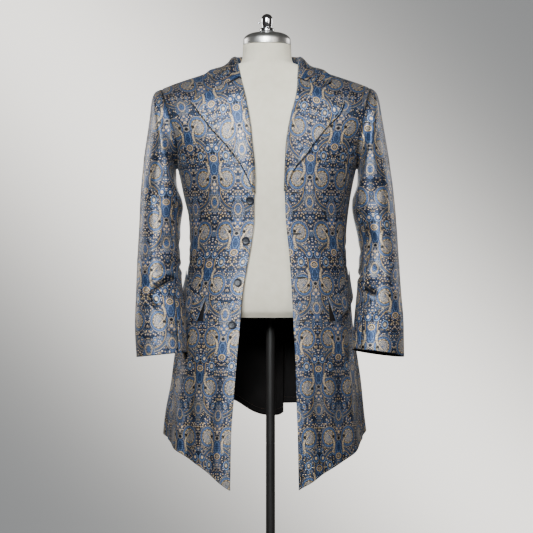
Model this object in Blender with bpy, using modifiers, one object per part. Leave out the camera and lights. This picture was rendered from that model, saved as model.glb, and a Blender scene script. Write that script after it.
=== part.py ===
"""Frock coat of paisley brocade, worn open on a limbless dress form with a pole stand.

Metres, +Z up. The coat's front faces -Y, and the wearer's right is at -X. The origin is on the
floor, at the middle of the stand. Every cloth piece is a wall built on one body surface or on one
sleeve surface, so that neighbours meet at their seams with a hair of clearance.
"""
import math
from bisect import bisect_right

import bpy
from mathutils import Vector

# ---- cloth ----
WALL = 0.0016            # brocade, interlining and lining together
COLLAR_WALL = 0.0016
LINING_WALL = 0.0010
LINING_RISE = 0.003      # how far the lining stops above the hem
LINING_LIE = 0.0010      # how far the skirt lining hangs inside the cloth
LINING_TOP = 0.004       # how far below the waist it begins
VENT_EASE = 0.0012       # how much further in the left lining hangs beside the underlap
SEAM = 0.0005            # clearance between two sewn panels
LIE = 0.0006             # clearance under a piece that lies on a panel
LAPEL_LIE = 0.0014       # the same under the lapels and collar, which spring a little
COLLAR_LIE = 0.0017
UP = Vector((0, 0, 1))

# ---- the body surface ----
SQUARENESS = 2.3         # 2 is an ellipse; higher is boxier
SHOULDER_ROUND = 0.085   # how far below the shoulder line the chest reaches its full depth
UNDERARM = 1.262         # lowest point of the armholes
WAIST = 1.03             # also the top of the back vent
HEM_GUESS = 0.70         # where the search for a column's hem height begins
LAP = 0.0031             # how far the left back stands off to cover the vent's underlap
UNDERLAP = 0.0395        # how far the underlap passes the centre back
LAP_FADE = 0.03
NECK_X = 0.078           # half width of the neckline at the shoulder seams
BACK_NECK_Z = 1.498
GORGE_Z = 1.4660         # where the lapel ends and the collar begins, on the front edge
BREAK_Z = 1.213          # where the lapel starts to roll, just above the top button
RIGHT, LEFT = -1, 1      # the wearer's sides, as the sign of X
SIDE_NAME = {RIGHT: "right", LEFT: "left"}

# ---- counts ----
FRONT_COLUMNS = 11
NECK_COLUMNS = (0, 0.25, 0.48, 0.68, 0.85, 1)       # shares of the back, centre to neck point
BACK_COLUMNS = (0.18, 0.38, 0.60, 0.80, 0.93, 1)    # and on to the armhole
UNDERLAP_COLUMN = 3      # the back's column nearest to the underlap's edge
VENT_COLUMNS = 2
SKIRT_ROWS = 8
BODICE_ROWS = 6
ARM_STEP = 15            # degrees between two points of an armhole
UNDER_ANGLE = 120        # armhole angle where the panels' straight sides begin

# ---- dress form ----
POLE_X = 0.008
FORM_EASE = 0.0035       # below the coat's outside, where it carries the coat
FORM_NECK_EASE = 0.004   # further below it inside the neckline
FORM_BOTTOM = 0.930
NECK_TOP = 1.5535
NECK_RADIUS = 0.055
CAP_HEIGHT = 0.0285
CAP_Y = -0.002           # the neck's middle
FINIAL_HEIGHT = 0.043
TOUCH = 0.0003           # clearance between the stand's parts
POLE_RADIUS = 0.0105
BASE_HEIGHT = 0.030      # at the collar round the pole


def table(columns, *rows):
    """Rows of numbers under named columns, kept as one list for each column."""
    return {name: [row[i] for row in rows] for i, name in enumerate(columns.split())}


# Half widths of each side and depths before and behind the shoulder line, hem to neck.
BODY = table(
    "z right_width left_width front_depth back_depth",
    (0.550, 0.241, 0.2310, 0.166, 0.190),
    (0.600, 0.240, 0.2310, 0.163, 0.187),
    (0.655, 0.236, 0.2275, 0.158, 0.183),
    (0.711, 0.230, 0.2210, 0.153, 0.176),
    (0.784, 0.217, 0.2140, 0.148, 0.166),
    (0.821, 0.213, 0.2090, 0.145, 0.160),
    (0.900, 0.203, 0.1985, 0.137, 0.147),
    (0.960, 0.195, 0.1930, 0.129, 0.134),
    (1.000, 0.188, 0.1895, 0.123, 0.124),
    (1.036, 0.182, 0.1855, 0.118, 0.115),
    (1.077, 0.178, 0.1815, 0.115, 0.110),
    (1.120, 0.178, 0.1822, 0.1155, 0.110),
    (1.157, 0.180, 0.1855, 0.118, 0.112),
    (1.200, 0.190, 0.1912, 0.124, 0.120),
    (1.262, 0.2035, 0.2035, 0.128, 0.128),
    (1.300, 0.2185, 0.2185, 0.128, 0.130),
    (1.350, 0.247, 0.247, 0.121, 0.126),
    (1.400, 0.275, 0.275, 0.106, 0.117),
    (1.450, 0.300, 0.300, 0.086, 0.104),
    (1.500, 0.315, 0.315, 0.070, 0.090),
    (1.530, 0.320, 0.320, 0.062, 0.078))

# Height of the shoulder line over each distance from the centre.
SHOULDER = table(
    "x z",
    (0.000, 1.5220), (0.078, 1.5085), (0.100, 1.5015), (0.140, 1.4885), (0.180, 1.4755),
    (0.210, 1.4655), (0.2415, 1.4530), (0.270, 1.4400))

# The free front edge, then the roll line of the lapel, then the neck.
FRONT_EDGE = table(
    "z right left",
    (0.550, 0.0815, 0.0700), (0.662, 0.0798, 0.0683), (0.747, 0.0740, 0.0653),
    (0.832, 0.0674, 0.0632), (0.917, 0.0600, 0.0591), (0.980, 0.0555, 0.0560),
    (1.044, 0.0451, 0.0520), (1.093, 0.0360, 0.0480), (1.157, 0.0293, 0.0418),
    (1.213, 0.0289, 0.0400), (1.262, 0.0290, 0.0415), (1.313, 0.0340, 0.0440),
    (1.356, 0.0380, 0.0500), (1.390, 0.0430, 0.0570), (1.430, 0.0505, 0.0675),
    (1.466, 0.0600, 0.0715), (1.511, 0.0740, 0.0760))

# The armhole seam as it shows from the front.
ARMHOLE = table(
    "z right left",
    (1.300, 0.2032, 0.2035), (1.3185, 0.2042, 0.2045), (1.353, 0.2112, 0.2110),
    (1.379, 0.2198, 0.2180), (1.4174, 0.2302, 0.2265), (1.453, 0.2415, 0.2345))

# Hem height at each angle round the body, from the centre front to the centre back and on
# to the end of the underlap.
HEM = table(
    "angle right left",
    (14.0, 0.5480, 0.5480), (16.5, 0.5490, 0.5507), (19.0, 0.5507, 0.5560),
    (25.0, 0.5658, 0.5690), (30.0, 0.5823, 0.5823), (36.0, 0.5985, 0.5940),
    (43.0, 0.6130, 0.6065), (50.0, 0.6270, 0.6200), (62.0, 0.6420, 0.6390),
    (72.0, 0.6550, 0.6570), (90.0, 0.6700, 0.6760), (110.0, 0.6910, 0.6950),
    (130.0, 0.7120, 0.7110), (150.0, 0.7245, 0.7170), (159.8, 0.7240, 0.7174),
    (163.7, 0.7174, 0.7174), (169.0, 0.7032, 0.7174), (174.0, 0.6934, 0.7172),
    (180.0, 0.6880, 0.7168), (184.8, 0.6878, 0.7168), (187.8, 0.6895, 0.7168),
    (189.9, 0.6955, 0.7168))

# How many degrees the side body narrows away from the armhole, going down.
SIDE_SEAM = table(
    "z front_swing back_swing",
    (0.60, 10.0, 8.0), (0.90, 10.0, 6.0), (1.05, 9.0, 3.0), (1.245, 0.0, 0.0))

# Sleeves: each row is a section through the points where its outer and inner lines lie. A share
# of 0 follows the armhole's curve and 1 is an oval of the given half depth.
SLEEVE = {
    RIGHT: table(
        "row outer_x outer_z inner_x inner_z depth middle_y share",
        (0, 0.2415, 1.4530, 0.2035, 1.2620, 0.080, 0.000, 0.00),
        (1, 0.2560, 1.4455, 0.2080, 1.2590, 0.082, 0.000, 0.45),
        (2, 0.2650, 1.4220, 0.2075, 1.2360, 0.081, 0.000, 0.85),
        (3, 0.2690, 1.3910, 0.2035, 1.2170, 0.079, 0.000, 1.00),
        (4, 0.2745, 1.3500, 0.1960, 1.2000, 0.077, -0.002, 1.00),
        (5, 0.2820, 1.3000, 0.1925, 1.1800, 0.074, -0.003, 1.00),
        (6, 0.2870, 1.2500, 0.1960, 1.1550, 0.071, -0.006, 1.00),
        (7, 0.2900, 1.1900, 0.1988, 1.1220, 0.067, -0.014, 1.00),
        (8, 0.2925, 1.1250, 0.1985, 1.0800, 0.063, -0.027, 1.00),
        (9, 0.2950, 1.0550, 0.1945, 1.0300, 0.059, -0.045, 1.00),
        (10, 0.2960, 0.9850, 0.1890, 0.9750, 0.053, -0.068, 1.00),
        (11, 0.2970, 0.9150, 0.1815, 0.9120, 0.048, -0.088, 1.00),
        (12, 0.2925, 0.8425, 0.1790, 0.8537, 0.045, -0.098, 1.00)),
    LEFT: table(
        "row outer_x outer_z inner_x inner_z depth middle_y share",
        (0, 0.2345, 1.4550, 0.2035, 1.2620, 0.080, 0.000, 0.00),
        (1, 0.2490, 1.4440, 0.2080, 1.2590, 0.082, 0.000, 0.45),
        (2, 0.2580, 1.4220, 0.2075, 1.2360, 0.081, 0.000, 0.85),
        (3, 0.2635, 1.3910, 0.2035, 1.2170, 0.079, 0.000, 1.00),
        (4, 0.2705, 1.3500, 0.1965, 1.2000, 0.077, -0.002, 1.00),
        (5, 0.2790, 1.3000, 0.1950, 1.1800, 0.074, -0.003, 1.00),
        (6, 0.2860, 1.2500, 0.1985, 1.1550, 0.071, -0.005, 1.00),
        (7, 0.2920, 1.1900, 0.2060, 1.1220, 0.067, -0.010, 1.00),
        (8, 0.2975, 1.1250, 0.2110, 1.0870, 0.063, -0.019, 1.00),
        (9, 0.3010, 1.0550, 0.2085, 1.0350, 0.059, -0.033, 1.00),
        (10, 0.3045, 0.9850, 0.2025, 0.9800, 0.054, -0.052, 1.00),
        (11, 0.3085, 0.9150, 0.1955, 0.9180, 0.050, -0.072, 1.00),
        (12, 0.3085, 0.8430, 0.1905, 0.8590, 0.047, -0.086, 1.00)),
}
SLEEVE_ROWS = (0, 0.3, 0.65, 1, 1.5, 2, 2.5, 3, 4, 5, 6, 7, 8, 8.5, 8.9, 9.3, 9.7, 10.1, 10.6,
               11.2, 12)
HEAD_REACH = 0.014       # how far the sleeve head stands out past the armhole at row 1
FRONT_SEAM_ANGLE = 135   # the sleeve's two seams, in degrees round it from the top
BACK_SEAM_ANGLE = 270
CUFF_PITCH = {RIGHT: 0.002, LEFT: 0.006}   # how much higher the cuff's front edge is

# Sleeve creases: soft troughs at the crook of the arm, across the front of each sleeve.
CREASES = {
    RIGHT: table(
        "row angle slope length width depth",
        (9.00, 118, -0.010, 60, 0.35, 0.009),
        (9.75, 60, 0.012, 48, 0.40, 0.004),
        (10.55, 112, 0.008, 32, 0.30, 0.004),
        (9.40, 250, 0.006, 55, 0.40, 0.006)),
    LEFT: table(
        "row angle slope length width depth",
        (9.55, 122, 0.010, 48, 0.35, 0.008),
        (8.70, 105, -0.008, 40, 0.40, 0.004),
        (10.60, 75, -0.008, 40, 0.40, 0.003),
        (9.20, 250, -0.006, 55, 0.40, 0.006)),
}

# Soft upright folds of the skirt: how far the cloth stands out or in at the hem.
FOLDS = table(
    "angle right left",
    (0, 0.000, 0.000), (30, 0.001, 0.001), (42, -0.003, -0.004), (53, 0.004, 0.003),
    (66, -0.005, -0.004), (80, 0.003, 0.002), (98, -0.004, -0.004), (116, 0.005, 0.004),
    (134, -0.004, -0.005), (150, 0.004, 0.004), (164, 0.000, 0.000), (200, 0.000, 0.000))

# The lapel's outer edge, from the break up to its corner.
LAPEL_EDGE = table(
    "z right left",
    (1.213, 0.0320, 0.0435), (1.243, 0.0440, 0.0520), (1.270, 0.0580, 0.0670),
    (1.290, 0.0720, 0.0860), (1.316, 0.0925, 0.1030), (1.338, 0.1125, 0.1205),
    (1.358, 0.1300, 0.1370), (1.385, 0.1500, 0.1640), (1.398, 0.1600, 0.1700),
    (1.4135, 0.1730, 0.1745))
LAPEL_CORNER_Z = 1.4135
LAPEL_ROWS = 12
LAPEL_ROLL = 0.0036      # how far the rolled edge stands off the chest
LAPEL_SHARES = (0.0, 0.1, 0.25, 0.45, 0.65, 0.85, 1.0)

# How the lapel's roll wraps the front edge: out past the edge, and forward of it.
LAPEL_WRAP = table("out forward", (0.0026, -0.0010), (0.0030, 0.0008), (0.0018, 0.0030))
GORGE_FULLNESS = 0.006   # how far the gorge seam bows at its middle

# The collar's outer edge, from the centre back to its front corner, and its stand.
COLLAR_EDGE = table(
    "share x z stand",
    (0.00, 0.0000, 1.4640, 0.0320), (0.15, 0.0400, 1.4650, 0.0290),
    (0.30, 0.0850, 1.4730, 0.0200), (0.45, 0.1170, 1.4980, 0.0140),
    (0.60, 0.1360, 1.4850, 0.0115), (0.80, 0.1460, 1.4730, 0.0080),
    (1.00, 0.1456, 1.4620, 0.0030))

# The collar's fold over the top of its stand: out from the neckline and above the stand.
COLLAR_FOLD = table(
    "out rise", (-0.0048, 0.0002), (-0.0034, 0.0030), (-0.0004, 0.0042), (0.0030, 0.0030))
COLLAR_SIDE = 0.45       # the share where the collar crosses the shoulder seam
STAND_INSET = 0.0028     # how far inside the neckline the stand begins
STAND_SPRING = 0.0022    # how much further at the sides of the neck
STAND_DROP = 0.003       # how far below the seam it reaches, fading out towards the gorge
FOLD_SPRING = 0.003      # how far the leaf springs out just below the fold
NOTCH_BOW = 0.0165       # how far the leaf's front dips to lie along the gorge
COLLAR_SHARES = (0, 0.12, 0.22, 0.30, 0.36, 0.41, 0.45, 0.49, 0.54, 0.62, 0.72, 0.82, 0.91, 1)
LEAF_SHARES = (0.14, 0.30, 0.48, 0.68, 0.84, 1.0)

# Pocket flaps: angle round the body and height of the upper and lower edges, front to back.
FLAP = table(
    "share top_angle top_z low_angle low_z stand_off",
    (0.00, 42.5, 0.9770, 47.0, 0.9210, 0.0030),
    (0.25, 55.0, 0.9970, 57.0, 0.9400, 0.0015),
    (0.50, 67.0, 1.0133, 68.0, 0.9566, 0.0006),
    (1.00, 84.0, 1.0350, 84.5, 0.9790, 0.0000))
FLAP_COLUMNS = 9
FLAP_ROWS = (0, 0.33, 0.67, 1)
FLAP_WALL = 0.0018
FLAP_LINING_WALL = 0.0010

# The corner of flap lining that shows in front of each flap: its front and back edges' angles.
CORNER = table("down front back", (0.02, 43.0, 48.2), (0.35, 43.0, 50.8), (0.68, 43.0, 53.4),
               (1.00, 43.0, 56.0))
CORNER_COLUMNS = 4
CORNER_RISE = 0.0012     # how much its top edge climbs with each degree

# Buttons on the wearer's right front.
BUTTONS = table(
    "z x seat",
    (0.915, 0.0766, 0.0006), (1.009, 0.0645, 0.0006), (1.1028, 0.0469, 0.0006),
    (1.1924, 0.0375, 0.0001))
BUTTON_PROFILE = table(
    "radius height",
    (0.0000, 0.0030), (0.0060, 0.0030), (0.0072, 0.0042), (0.0084, 0.0043),
    (0.0094, 0.0030), (0.0092, 0.0012), (0.0076, 0.0000), (0.0000, 0.0000))
BUTTON_STEPS = 16

# Dress form: half width of the trunk and how far inside the coat its front and back lie.
TORSO = table(
    "z width front_inset back_inset",
    (0.930, 0.150, 0.044, 0.050), (0.945, 0.160, 0.030, 0.034), (0.970, 0.166, 0.022, 0.024),
    (1.010, 0.166, 0.014, 0.016), (1.060, 0.161, 0.011, 0.012), (1.110, 0.160, 0.011, 0.012),
    (1.160, 0.164, 0.011, 0.012), (1.220, 0.171, 0.011, 0.012), (1.280, 0.178, 0.010, 0.010),
    (1.340, 0.184, 0.009, 0.009), (1.400, 0.189, 0.0075, 0.0075), (1.440, 0.192, 0.006, 0.006),
    (1.530, 0.192, 0.006, 0.006))
TORSO_POINTS = 32
TORSO_ROWS = (0.930, 0.936, 0.945, 0.970, 1.010, 1.070, 1.130, 1.190, 1.250, 1.305, 1.350, 1.385,
              1.412, 1.432, 1.448, 1.459, 1.468, 1.476, 1.484, 1.4905, 1.4955, 1.4985)
NECK_ROWS = table(
    "z half_width half_depth",
    (1.5000, 0.0740, 0.0565), (1.5030, 0.0680, 0.0562), (1.5080, 0.0630, 0.0557),
    (1.5150, 0.0592, 0.0552), (1.5260, 0.0565, 0.0548), (1.5535, 0.0550, 0.0540))
NECK_BACK = 0.92         # the neck is a little flatter behind

# Fittings turned on a lathe, from the top down.
BALL = 0.0133            # the finial's domed top
FINIAL_FOOT = table(
    "radius height",
    (0.0133, 0.0205), (0.0117, 0.0120), (0.0117, 0.0102), (0.0156, 0.0092), (0.0168, 0.0068),
    (0.0168, 0.0030), (0.0143, 0.0), (0.0, 0.0))
SCREW_Z = 0.022          # height of the set screw on the finial
SET_SCREW = table(
    "radius height",
    (0.0, 0.0075), (0.0017, 0.0072), (0.0022, 0.0060), (0.0022, 0.0030), (0.0013, 0.0026),
    (0.0013, 0.0), (0.0, 0.0))
BASE = table(
    "radius height",
    (0.0, BASE_HEIGHT), (0.017, BASE_HEIGHT), (0.019, 0.028), (0.021, 0.014), (0.030, 0.011),
    (0.153, 0.0085), (0.162, 0.0070), (0.165, 0.0045), (0.1645, 0.0), (0.0, 0.0))


# ---------------------------------------------------------------- smooth reading of the tables

def slope(keys, values, i):
    """Slope at one row that never overshoots its neighbours."""
    def secant(j):
        return (values[j + 1] - values[j]) / (keys[j + 1] - keys[j])
    if i == 0:
        return secant(0)
    if i == len(keys) - 1:
        return secant(i - 1)
    before, after = secant(i - 1), secant(i)
    if before * after <= 0:
        return 0.0
    return 2 * before * after / (before + after)


def read(chart, column, at):
    """Smooth value of a column, at a value of the chart's first column."""
    keys = next(iter(chart.values()))
    values = chart[column]
    if at <= keys[0]:
        return values[0]
    if at >= keys[-1]:
        return values[-1]
    i = bisect_right(keys, at) - 1
    step = keys[i + 1] - keys[i]
    t = (at - keys[i]) / step
    start = slope(keys, values, i) * step
    end = slope(keys, values, i + 1) * step
    return ((2 * t ** 3 - 3 * t ** 2 + 1) * values[i] + (t ** 3 - 2 * t ** 2 + t) * start
            + (3 * t ** 2 - 2 * t ** 3) * values[i + 1] + (t ** 3 - t ** 2) * end)


def mix(a, b, share):
    return a + (b - a) * share


def ease(share):
    """0 to 1 with level ends."""
    share = min(max(share, 0.0), 1.0)
    return share * share * (3 - 2 * share)


def shares(count):
    """Even steps from 0 to 1, half as wide at both ends, where panels meet."""
    return [k / count - 0.5 * math.sin(2 * math.pi * k / count) / (2 * math.pi)
            for k in range(count + 1)]


# ---------------------------------------------------------------- the body surface

def half_width(side, z):
    return read(BODY, SIDE_NAME[side] + "_width", z)


def spread(angle, squareness=SQUARENESS):
    """Point of a unit rounded oval: its share of the half width and of the depth."""
    across, along = math.sin(angle), math.cos(angle)
    size = (abs(across) ** squareness + abs(along) ** squareness) ** (-1 / squareness)
    return across * size, along * size


def angle_at(share):
    """Angle from the centre front where the oval reaches a share of its half width."""
    power = min(share, 0.9999) ** SQUARENESS
    return math.atan((power / (1 - power)) ** (1 / SQUARENESS))


def shoulder_height(x):
    return read(SHOULDER, "z", abs(x))


def neckline_height(x):
    """Shoulder line, dipping to the back neck between the shoulder seams."""
    x = abs(x)
    if x >= NECK_X:
        return shoulder_height(x)
    return mix(BACK_NECK_Z, shoulder_height(NECK_X), (x / NECK_X) ** 2)


def shoulder_fall(crest, z):
    """Share of the full depth at a height below the rounded shoulder's crest."""
    below = (crest - z) / SHOULDER_ROUND
    below = min(max(below, 0.0), 1.0)
    return math.sqrt(1 - (1 - below) ** 2)


def vent_lap(x, z):
    """How far the left back stands out over the vent's underlap."""
    down = 1 - ease((z - WAIST) / (2 * LAP_FADE))
    over = 1 - ease((x - UNDERLAP - 0.020) / LAP_FADE)
    return LAP * down * over


def skirt_fold(side, angle, z):
    """Soft upright folds that grow from the waist to the hem."""
    grown = ease((WAIST - z) / (WAIST - 0.66))
    return grown * read(FOLDS, SIDE_NAME[side], math.degrees(angle))


def body_point(side, angle, z):
    """Outside of the coat at an angle from the centre front, and a height."""
    across, along = spread(angle)
    width = half_width(side, z)
    x = width * across
    depth = read(BODY, "front_depth" if along > 0 else "back_depth", z)
    y = -depth * along * shoulder_fall(shoulder_height(x), z)
    fold = skirt_fold(side, angle, z)
    x += fold * math.sin(angle)
    y -= fold * math.cos(angle)
    if side == LEFT and along < 0:
        y += vent_lap(x, z)
    return Vector((side * x, y, z))


def body_normal(side, angle, z):
    """Outward direction of the body surface; straight off the ridge on the shoulder line."""
    point = body_point(side, angle, z)
    step = 0.002
    below = shoulder_height(point.x) - z
    if below < 0.0012:
        pitch = shoulder_height(abs(point.x) + step) - shoulder_height(abs(point.x) - step)
        return Vector((-side * pitch, 0, 2 * step)).normalized()
    turn, rise = 0.01, min(0.0015, below * 0.4)
    round_it = body_point(side, angle + turn, z) - body_point(side, angle - turn, z)
    up_it = body_point(side, angle, z + rise) - body_point(side, angle, z - rise)
    normal = round_it.cross(up_it) * side
    return normal.normalized()


def body_cloth(side, angle, z, toward=0.0):
    """A panel's point and its outward direction."""
    point = body_point(side, angle, z)
    point.y += toward
    return point, body_normal(side, angle, z)


def front_angle(side, x, z):
    return angle_at(x / half_width(side, z))


def lifted(side, angle, z, height):
    return body_point(side, angle, z) + body_normal(side, angle, z) * height


def edge_x(side, z):
    return read(FRONT_EDGE, SIDE_NAME[side], z)


def hem_height(side, angle):
    return read(HEM, SIDE_NAME[side], math.degrees(angle))


# ---------------------------------------------------------------- armholes

def arm_x(side, z):
    return read(ARMHOLE, SIDE_NAME[side], z)


def arm_top(side):
    return shoulder_height(ARMHOLE[SIDE_NAME[side]][-1])


def arm_height(side, degrees):
    """Height of the armhole at an angle round it, from 0 at the shoulder to 180 under the arm."""
    middle = (arm_top(side) + UNDERARM) / 2
    return middle + (arm_top(side) - middle) * math.cos(math.radians(degrees))


def chest_z(side):
    """Height where the side body's own top edge begins."""
    return arm_height(side, UNDER_ANGLE)


def side_angle(side):
    """Body angle of the front armhole at that height."""
    z = chest_z(side)
    return front_angle(side, arm_x(side, z), z)


def armhole_place(side, degrees, inside=0.0):
    """Body angle and height of the armhole seam, or of the panel a small way inside it."""
    turned = degrees if degrees <= 180 else 360 - degrees
    z = arm_height(side, turned)
    if turned <= UNDER_ANGLE:
        low, top_x = chest_z(side), ARMHOLE[SIDE_NAME[side]][-1]
        rise = (z - low) / (arm_top(side) - low)
        x = arm_x(side, z) - inside
        z = low + rise * (shoulder_height(top_x - inside) - low)
        angle = front_angle(side, x, z)
    else:
        start = side_angle(side)
        angle = mix(start, math.pi - start, (turned - UNDER_ANGLE) / (360 - 2 * UNDER_ANGLE))
        z -= inside
    if degrees > 180:
        angle = math.pi - angle
    return angle, z


def armhole(side, degrees, inside=0.0):
    return body_point(side, *armhole_place(side, degrees, inside))


# ---------------------------------------------------------------- solids from point grids

def material(name, colour, roughness, metallic=0.0):
    made = bpy.data.materials.new(name)
    made.use_nodes = True
    shader = made.node_tree.nodes["Principled BSDF"]
    shader.inputs["Base Color"].default_value = (*colour, 1)
    shader.inputs["Roughness"].default_value = roughness
    shader.inputs["Metallic"].default_value = metallic
    return made


def add_object(name, points, faces, finish):
    """Mesh object in the coat's collection."""
    mesh = bpy.data.meshes.new(name)
    mesh.from_pydata(points, [], faces)
    mesh.update()
    mesh.materials.append(finish)
    mesh.shade_smooth()
    made = bpy.data.objects.new(name, mesh)
    bpy.data.collections["frock_coat"].objects.link(made)
    return made


def directed(grid, facing):
    """Adds an outward direction to each point of a grid, worked out from its neighbours."""
    last_row, last_column = len(grid) - 1, len(grid[0]) - 1
    total = Vector()
    pairs = []
    for r, row in enumerate(grid):
        pairs.append([])
        for c, point in enumerate(row):
            along = row[min(c + 1, last_column)] - row[max(c - 1, 0)]
            across = grid[min(r + 1, last_row)][c] - grid[max(r - 1, 0)][c]
            normal = along.cross(across)
            total += normal
            pairs[-1].append((point, normal.normalized()))
    sign = 1 if total.dot(facing) > 0 else -1
    return [[(point, normal * sign) for point, normal in row] for row in pairs]


def wall(name, grid, thickness, finish):
    """Closed cloth wall from a grid of (outer point, outward direction) pairs.

    None marks a place with no cloth. Neighbouring panels share these directions along a seam,
    so their edges stay parallel through the whole thickness.
    """
    outer, inner, index = [], [], {}
    for r, row in enumerate(grid):
        for c, pair in enumerate(row):
            if pair is not None:
                index[r, c] = len(outer)
                outer.append(pair[0])
                inner.append(pair[0] - pair[1] * thickness)
    quads = []
    lean = 0.0
    for r in range(len(grid) - 1):
        for c in range(len(grid[0]) - 1):
            corners = [(r, c), (r, c + 1), (r + 1, c + 1), (r + 1, c)]
            if all(corner in index for corner in corners):
                quad = [index[corner] for corner in corners]
                quads.append(quad)
                spread_out = (outer[quad[1]] - outer[quad[0]]).cross(outer[quad[3]] - outer[quad[0]])
                lean += spread_out.dot(grid[r][c][1])
    if lean < 0:
        quads = [quad[::-1] for quad in quads]
    count = len(outer)
    edges = {(quad[k - 1], quad[k]) for quad in quads for k in range(4)}
    faces = quads + [[count + i for i in reversed(quad)] for quad in quads]
    faces += [(b, a, count + a, count + b) for a, b in sorted(edges) if (b, a) not in edges]
    return add_object(name, outer + inner, faces, finish)


def turned(name, profile, steps, finish):
    """Solid of revolution about Z from (radius, height) points, listed from the top down."""
    mesh = bpy.data.meshes.new(name)
    points = [(radius, 0, height) for radius, height in profile]
    mesh.from_pydata(points, [(i, i + 1) for i in range(len(points) - 1)], [])
    mesh.materials.append(finish)
    made = bpy.data.objects.new(name, mesh)
    bpy.data.collections["frock_coat"].objects.link(made)
    spin = made.modifiers.new("turn", "SCREW")
    spin.steps = steps
    spin.render_steps = steps
    spin.use_merge_vertices = True
    spin.merge_threshold = 0.00001
    spin.use_smooth_shade = True
    return made


# ---------------------------------------------------------------- body panels

def lower_rows(side, start, end, top, columns):
    """Rows from the hem to a top height for each column; start and end give edge angles."""
    def level(share, low, high, rise):
        z = mix(low, high, rise)
        return body_cloth(side, mix(start(z), end(z), share), z)
    feet = []
    for share in columns:
        foot = HEM_GUESS
        for _ in range(5):
            foot = hem_height(side, mix(start(foot), end(foot), share))
        feet.append(foot)
    rows = [[level(share, foot, WAIST, r / SKIRT_ROWS) for share, foot in zip(columns, feet)]
            for r in range(SKIRT_ROWS)]
    rows += [[level(share, WAIST, top(share), r / BODICE_ROWS) for share in columns]
             for r in range(BODICE_ROWS + 1)]
    return rows


def upper_rows(side, edge, crest, columns, toward):
    """Rows from the chest to the shoulder; edge gives the inner edge's angle at a height."""
    low = chest_z(side)

    def arm_angle(z):
        angle = front_angle(side, arm_x(side, z), z)
        return angle if toward < 0 else math.pi - angle

    def top_height(share):
        z = 1.48
        for _ in range(12):
            angle = mix(edge(z), arm_angle(arm_top(side)), share)
            z = crest(half_width(side, z) * spread(angle)[0])
        return z

    tops = [top_height(share) for share in columns]
    rows = []
    steps = UNDER_ANGLE // ARM_STEP
    for k in range(1, steps + 1):
        rise = arm_height(side, UNDER_ANGLE - k * ARM_STEP)
        rise = (rise - low) / (arm_top(side) - low)
        inner_z, outer_z = mix(low, tops[0], rise), mix(low, tops[-1], rise)
        row = []
        for share, top in zip(columns, tops):
            angle = mix(edge(inner_z), arm_angle(outer_z), share)
            row.append(body_cloth(side, angle, mix(low, top, rise), toward * SEAM / 2 * rise))
        rows.append(row)
    return rows


def seam_swing(column, side, z):
    return math.radians(read(SIDE_SEAM, column, z))


def seam_turn(side, z):
    """Half of a seam's clearance, as an angle round the body."""
    return SEAM / 2 / half_width(side, z)


def front_seam(side, z):
    return side_angle(side) + seam_swing("front_swing", side, z)


def back_seam(side, z):
    return math.pi - side_angle(side) - seam_swing("back_swing", side, z)


def make_front(side, finish):
    columns = shares(FRONT_COLUMNS)

    def edge(z):
        return front_angle(side, edge_x(side, z), z)
    rows = lower_rows(side, edge, lambda z: front_seam(side, z) - seam_turn(side, z),
                      lambda share: chest_z(side), columns)
    rows += upper_rows(side, edge, shoulder_height, columns, -1)
    wall("front_" + SIDE_NAME[side], rows, WALL, finish)


def make_side(side, finish):
    count = (360 - 2 * UNDER_ANGLE) // ARM_STEP
    columns = [k / count for k in range(count + 1)]

    def top(share):
        return arm_height(side, mix(UNDER_ANGLE, 360 - UNDER_ANGLE, share))
    rows = lower_rows(side, lambda z: front_seam(side, z) + seam_turn(side, z),
                      lambda z: back_seam(side, z) - seam_turn(side, z), top, columns)
    wall("side_" + SIDE_NAME[side], rows, WALL, finish)


def back_columns(side):
    """Shares across the back, with one column at the shoulder seam's neck end."""
    neck = front_angle(side, NECK_X, shoulder_height(NECK_X))
    neck /= front_angle(side, arm_x(side, arm_top(side)), arm_top(side))
    return [neck * share for share in NECK_COLUMNS] + [mix(neck, 1, s) for s in BACK_COLUMNS]


def make_back(side, finish):
    """Back panel; the right one carries the vent's underlap past the centre."""
    columns = back_columns(side)

    def centre(z):
        return math.pi - seam_turn(side, z) * 1.5
    rows = lower_rows(side, centre, lambda z: back_seam(side, z) + seam_turn(side, z),
                      lambda share: chest_z(side), columns)
    rows += upper_rows(side, centre, neckline_height, columns, 1)
    if side == RIGHT:
        for r, row in enumerate(rows):
            extra = []
            for k in range(VENT_COLUMNS, 0, -1):
                extra.append(underlap_point(k / VENT_COLUMNS, r / SKIRT_ROWS)
                             if r <= SKIRT_ROWS else None)
            row[:0] = extra
    wall("back_" + SIDE_NAME[side], rows, WALL, finish)


def underlap_point(share, rise):
    """Point of the underlap, from the centre back (0) to its free edge (1)."""
    def angle(z):
        return math.pi + share * angle_at(UNDERLAP / half_width(RIGHT, z))
    foot = hem_height(RIGHT, angle(HEM_GUESS))
    z = mix(foot, WAIST, rise)
    return body_cloth(RIGHT, angle(z), z)


# ---------------------------------------------------------------- sleeves

def crease_depth(side, row, degrees):
    chart = CREASES[side]
    total = 0.0
    for i, centre in enumerate(chart["row"]):
        along = degrees - chart["angle"][i]
        across = row - centre - chart["slope"][i] * along
        total += chart["depth"][i] * math.exp(
            -(along / chart["length"][i]) ** 2 - (across / chart["width"][i]) ** 2)
    return total


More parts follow.
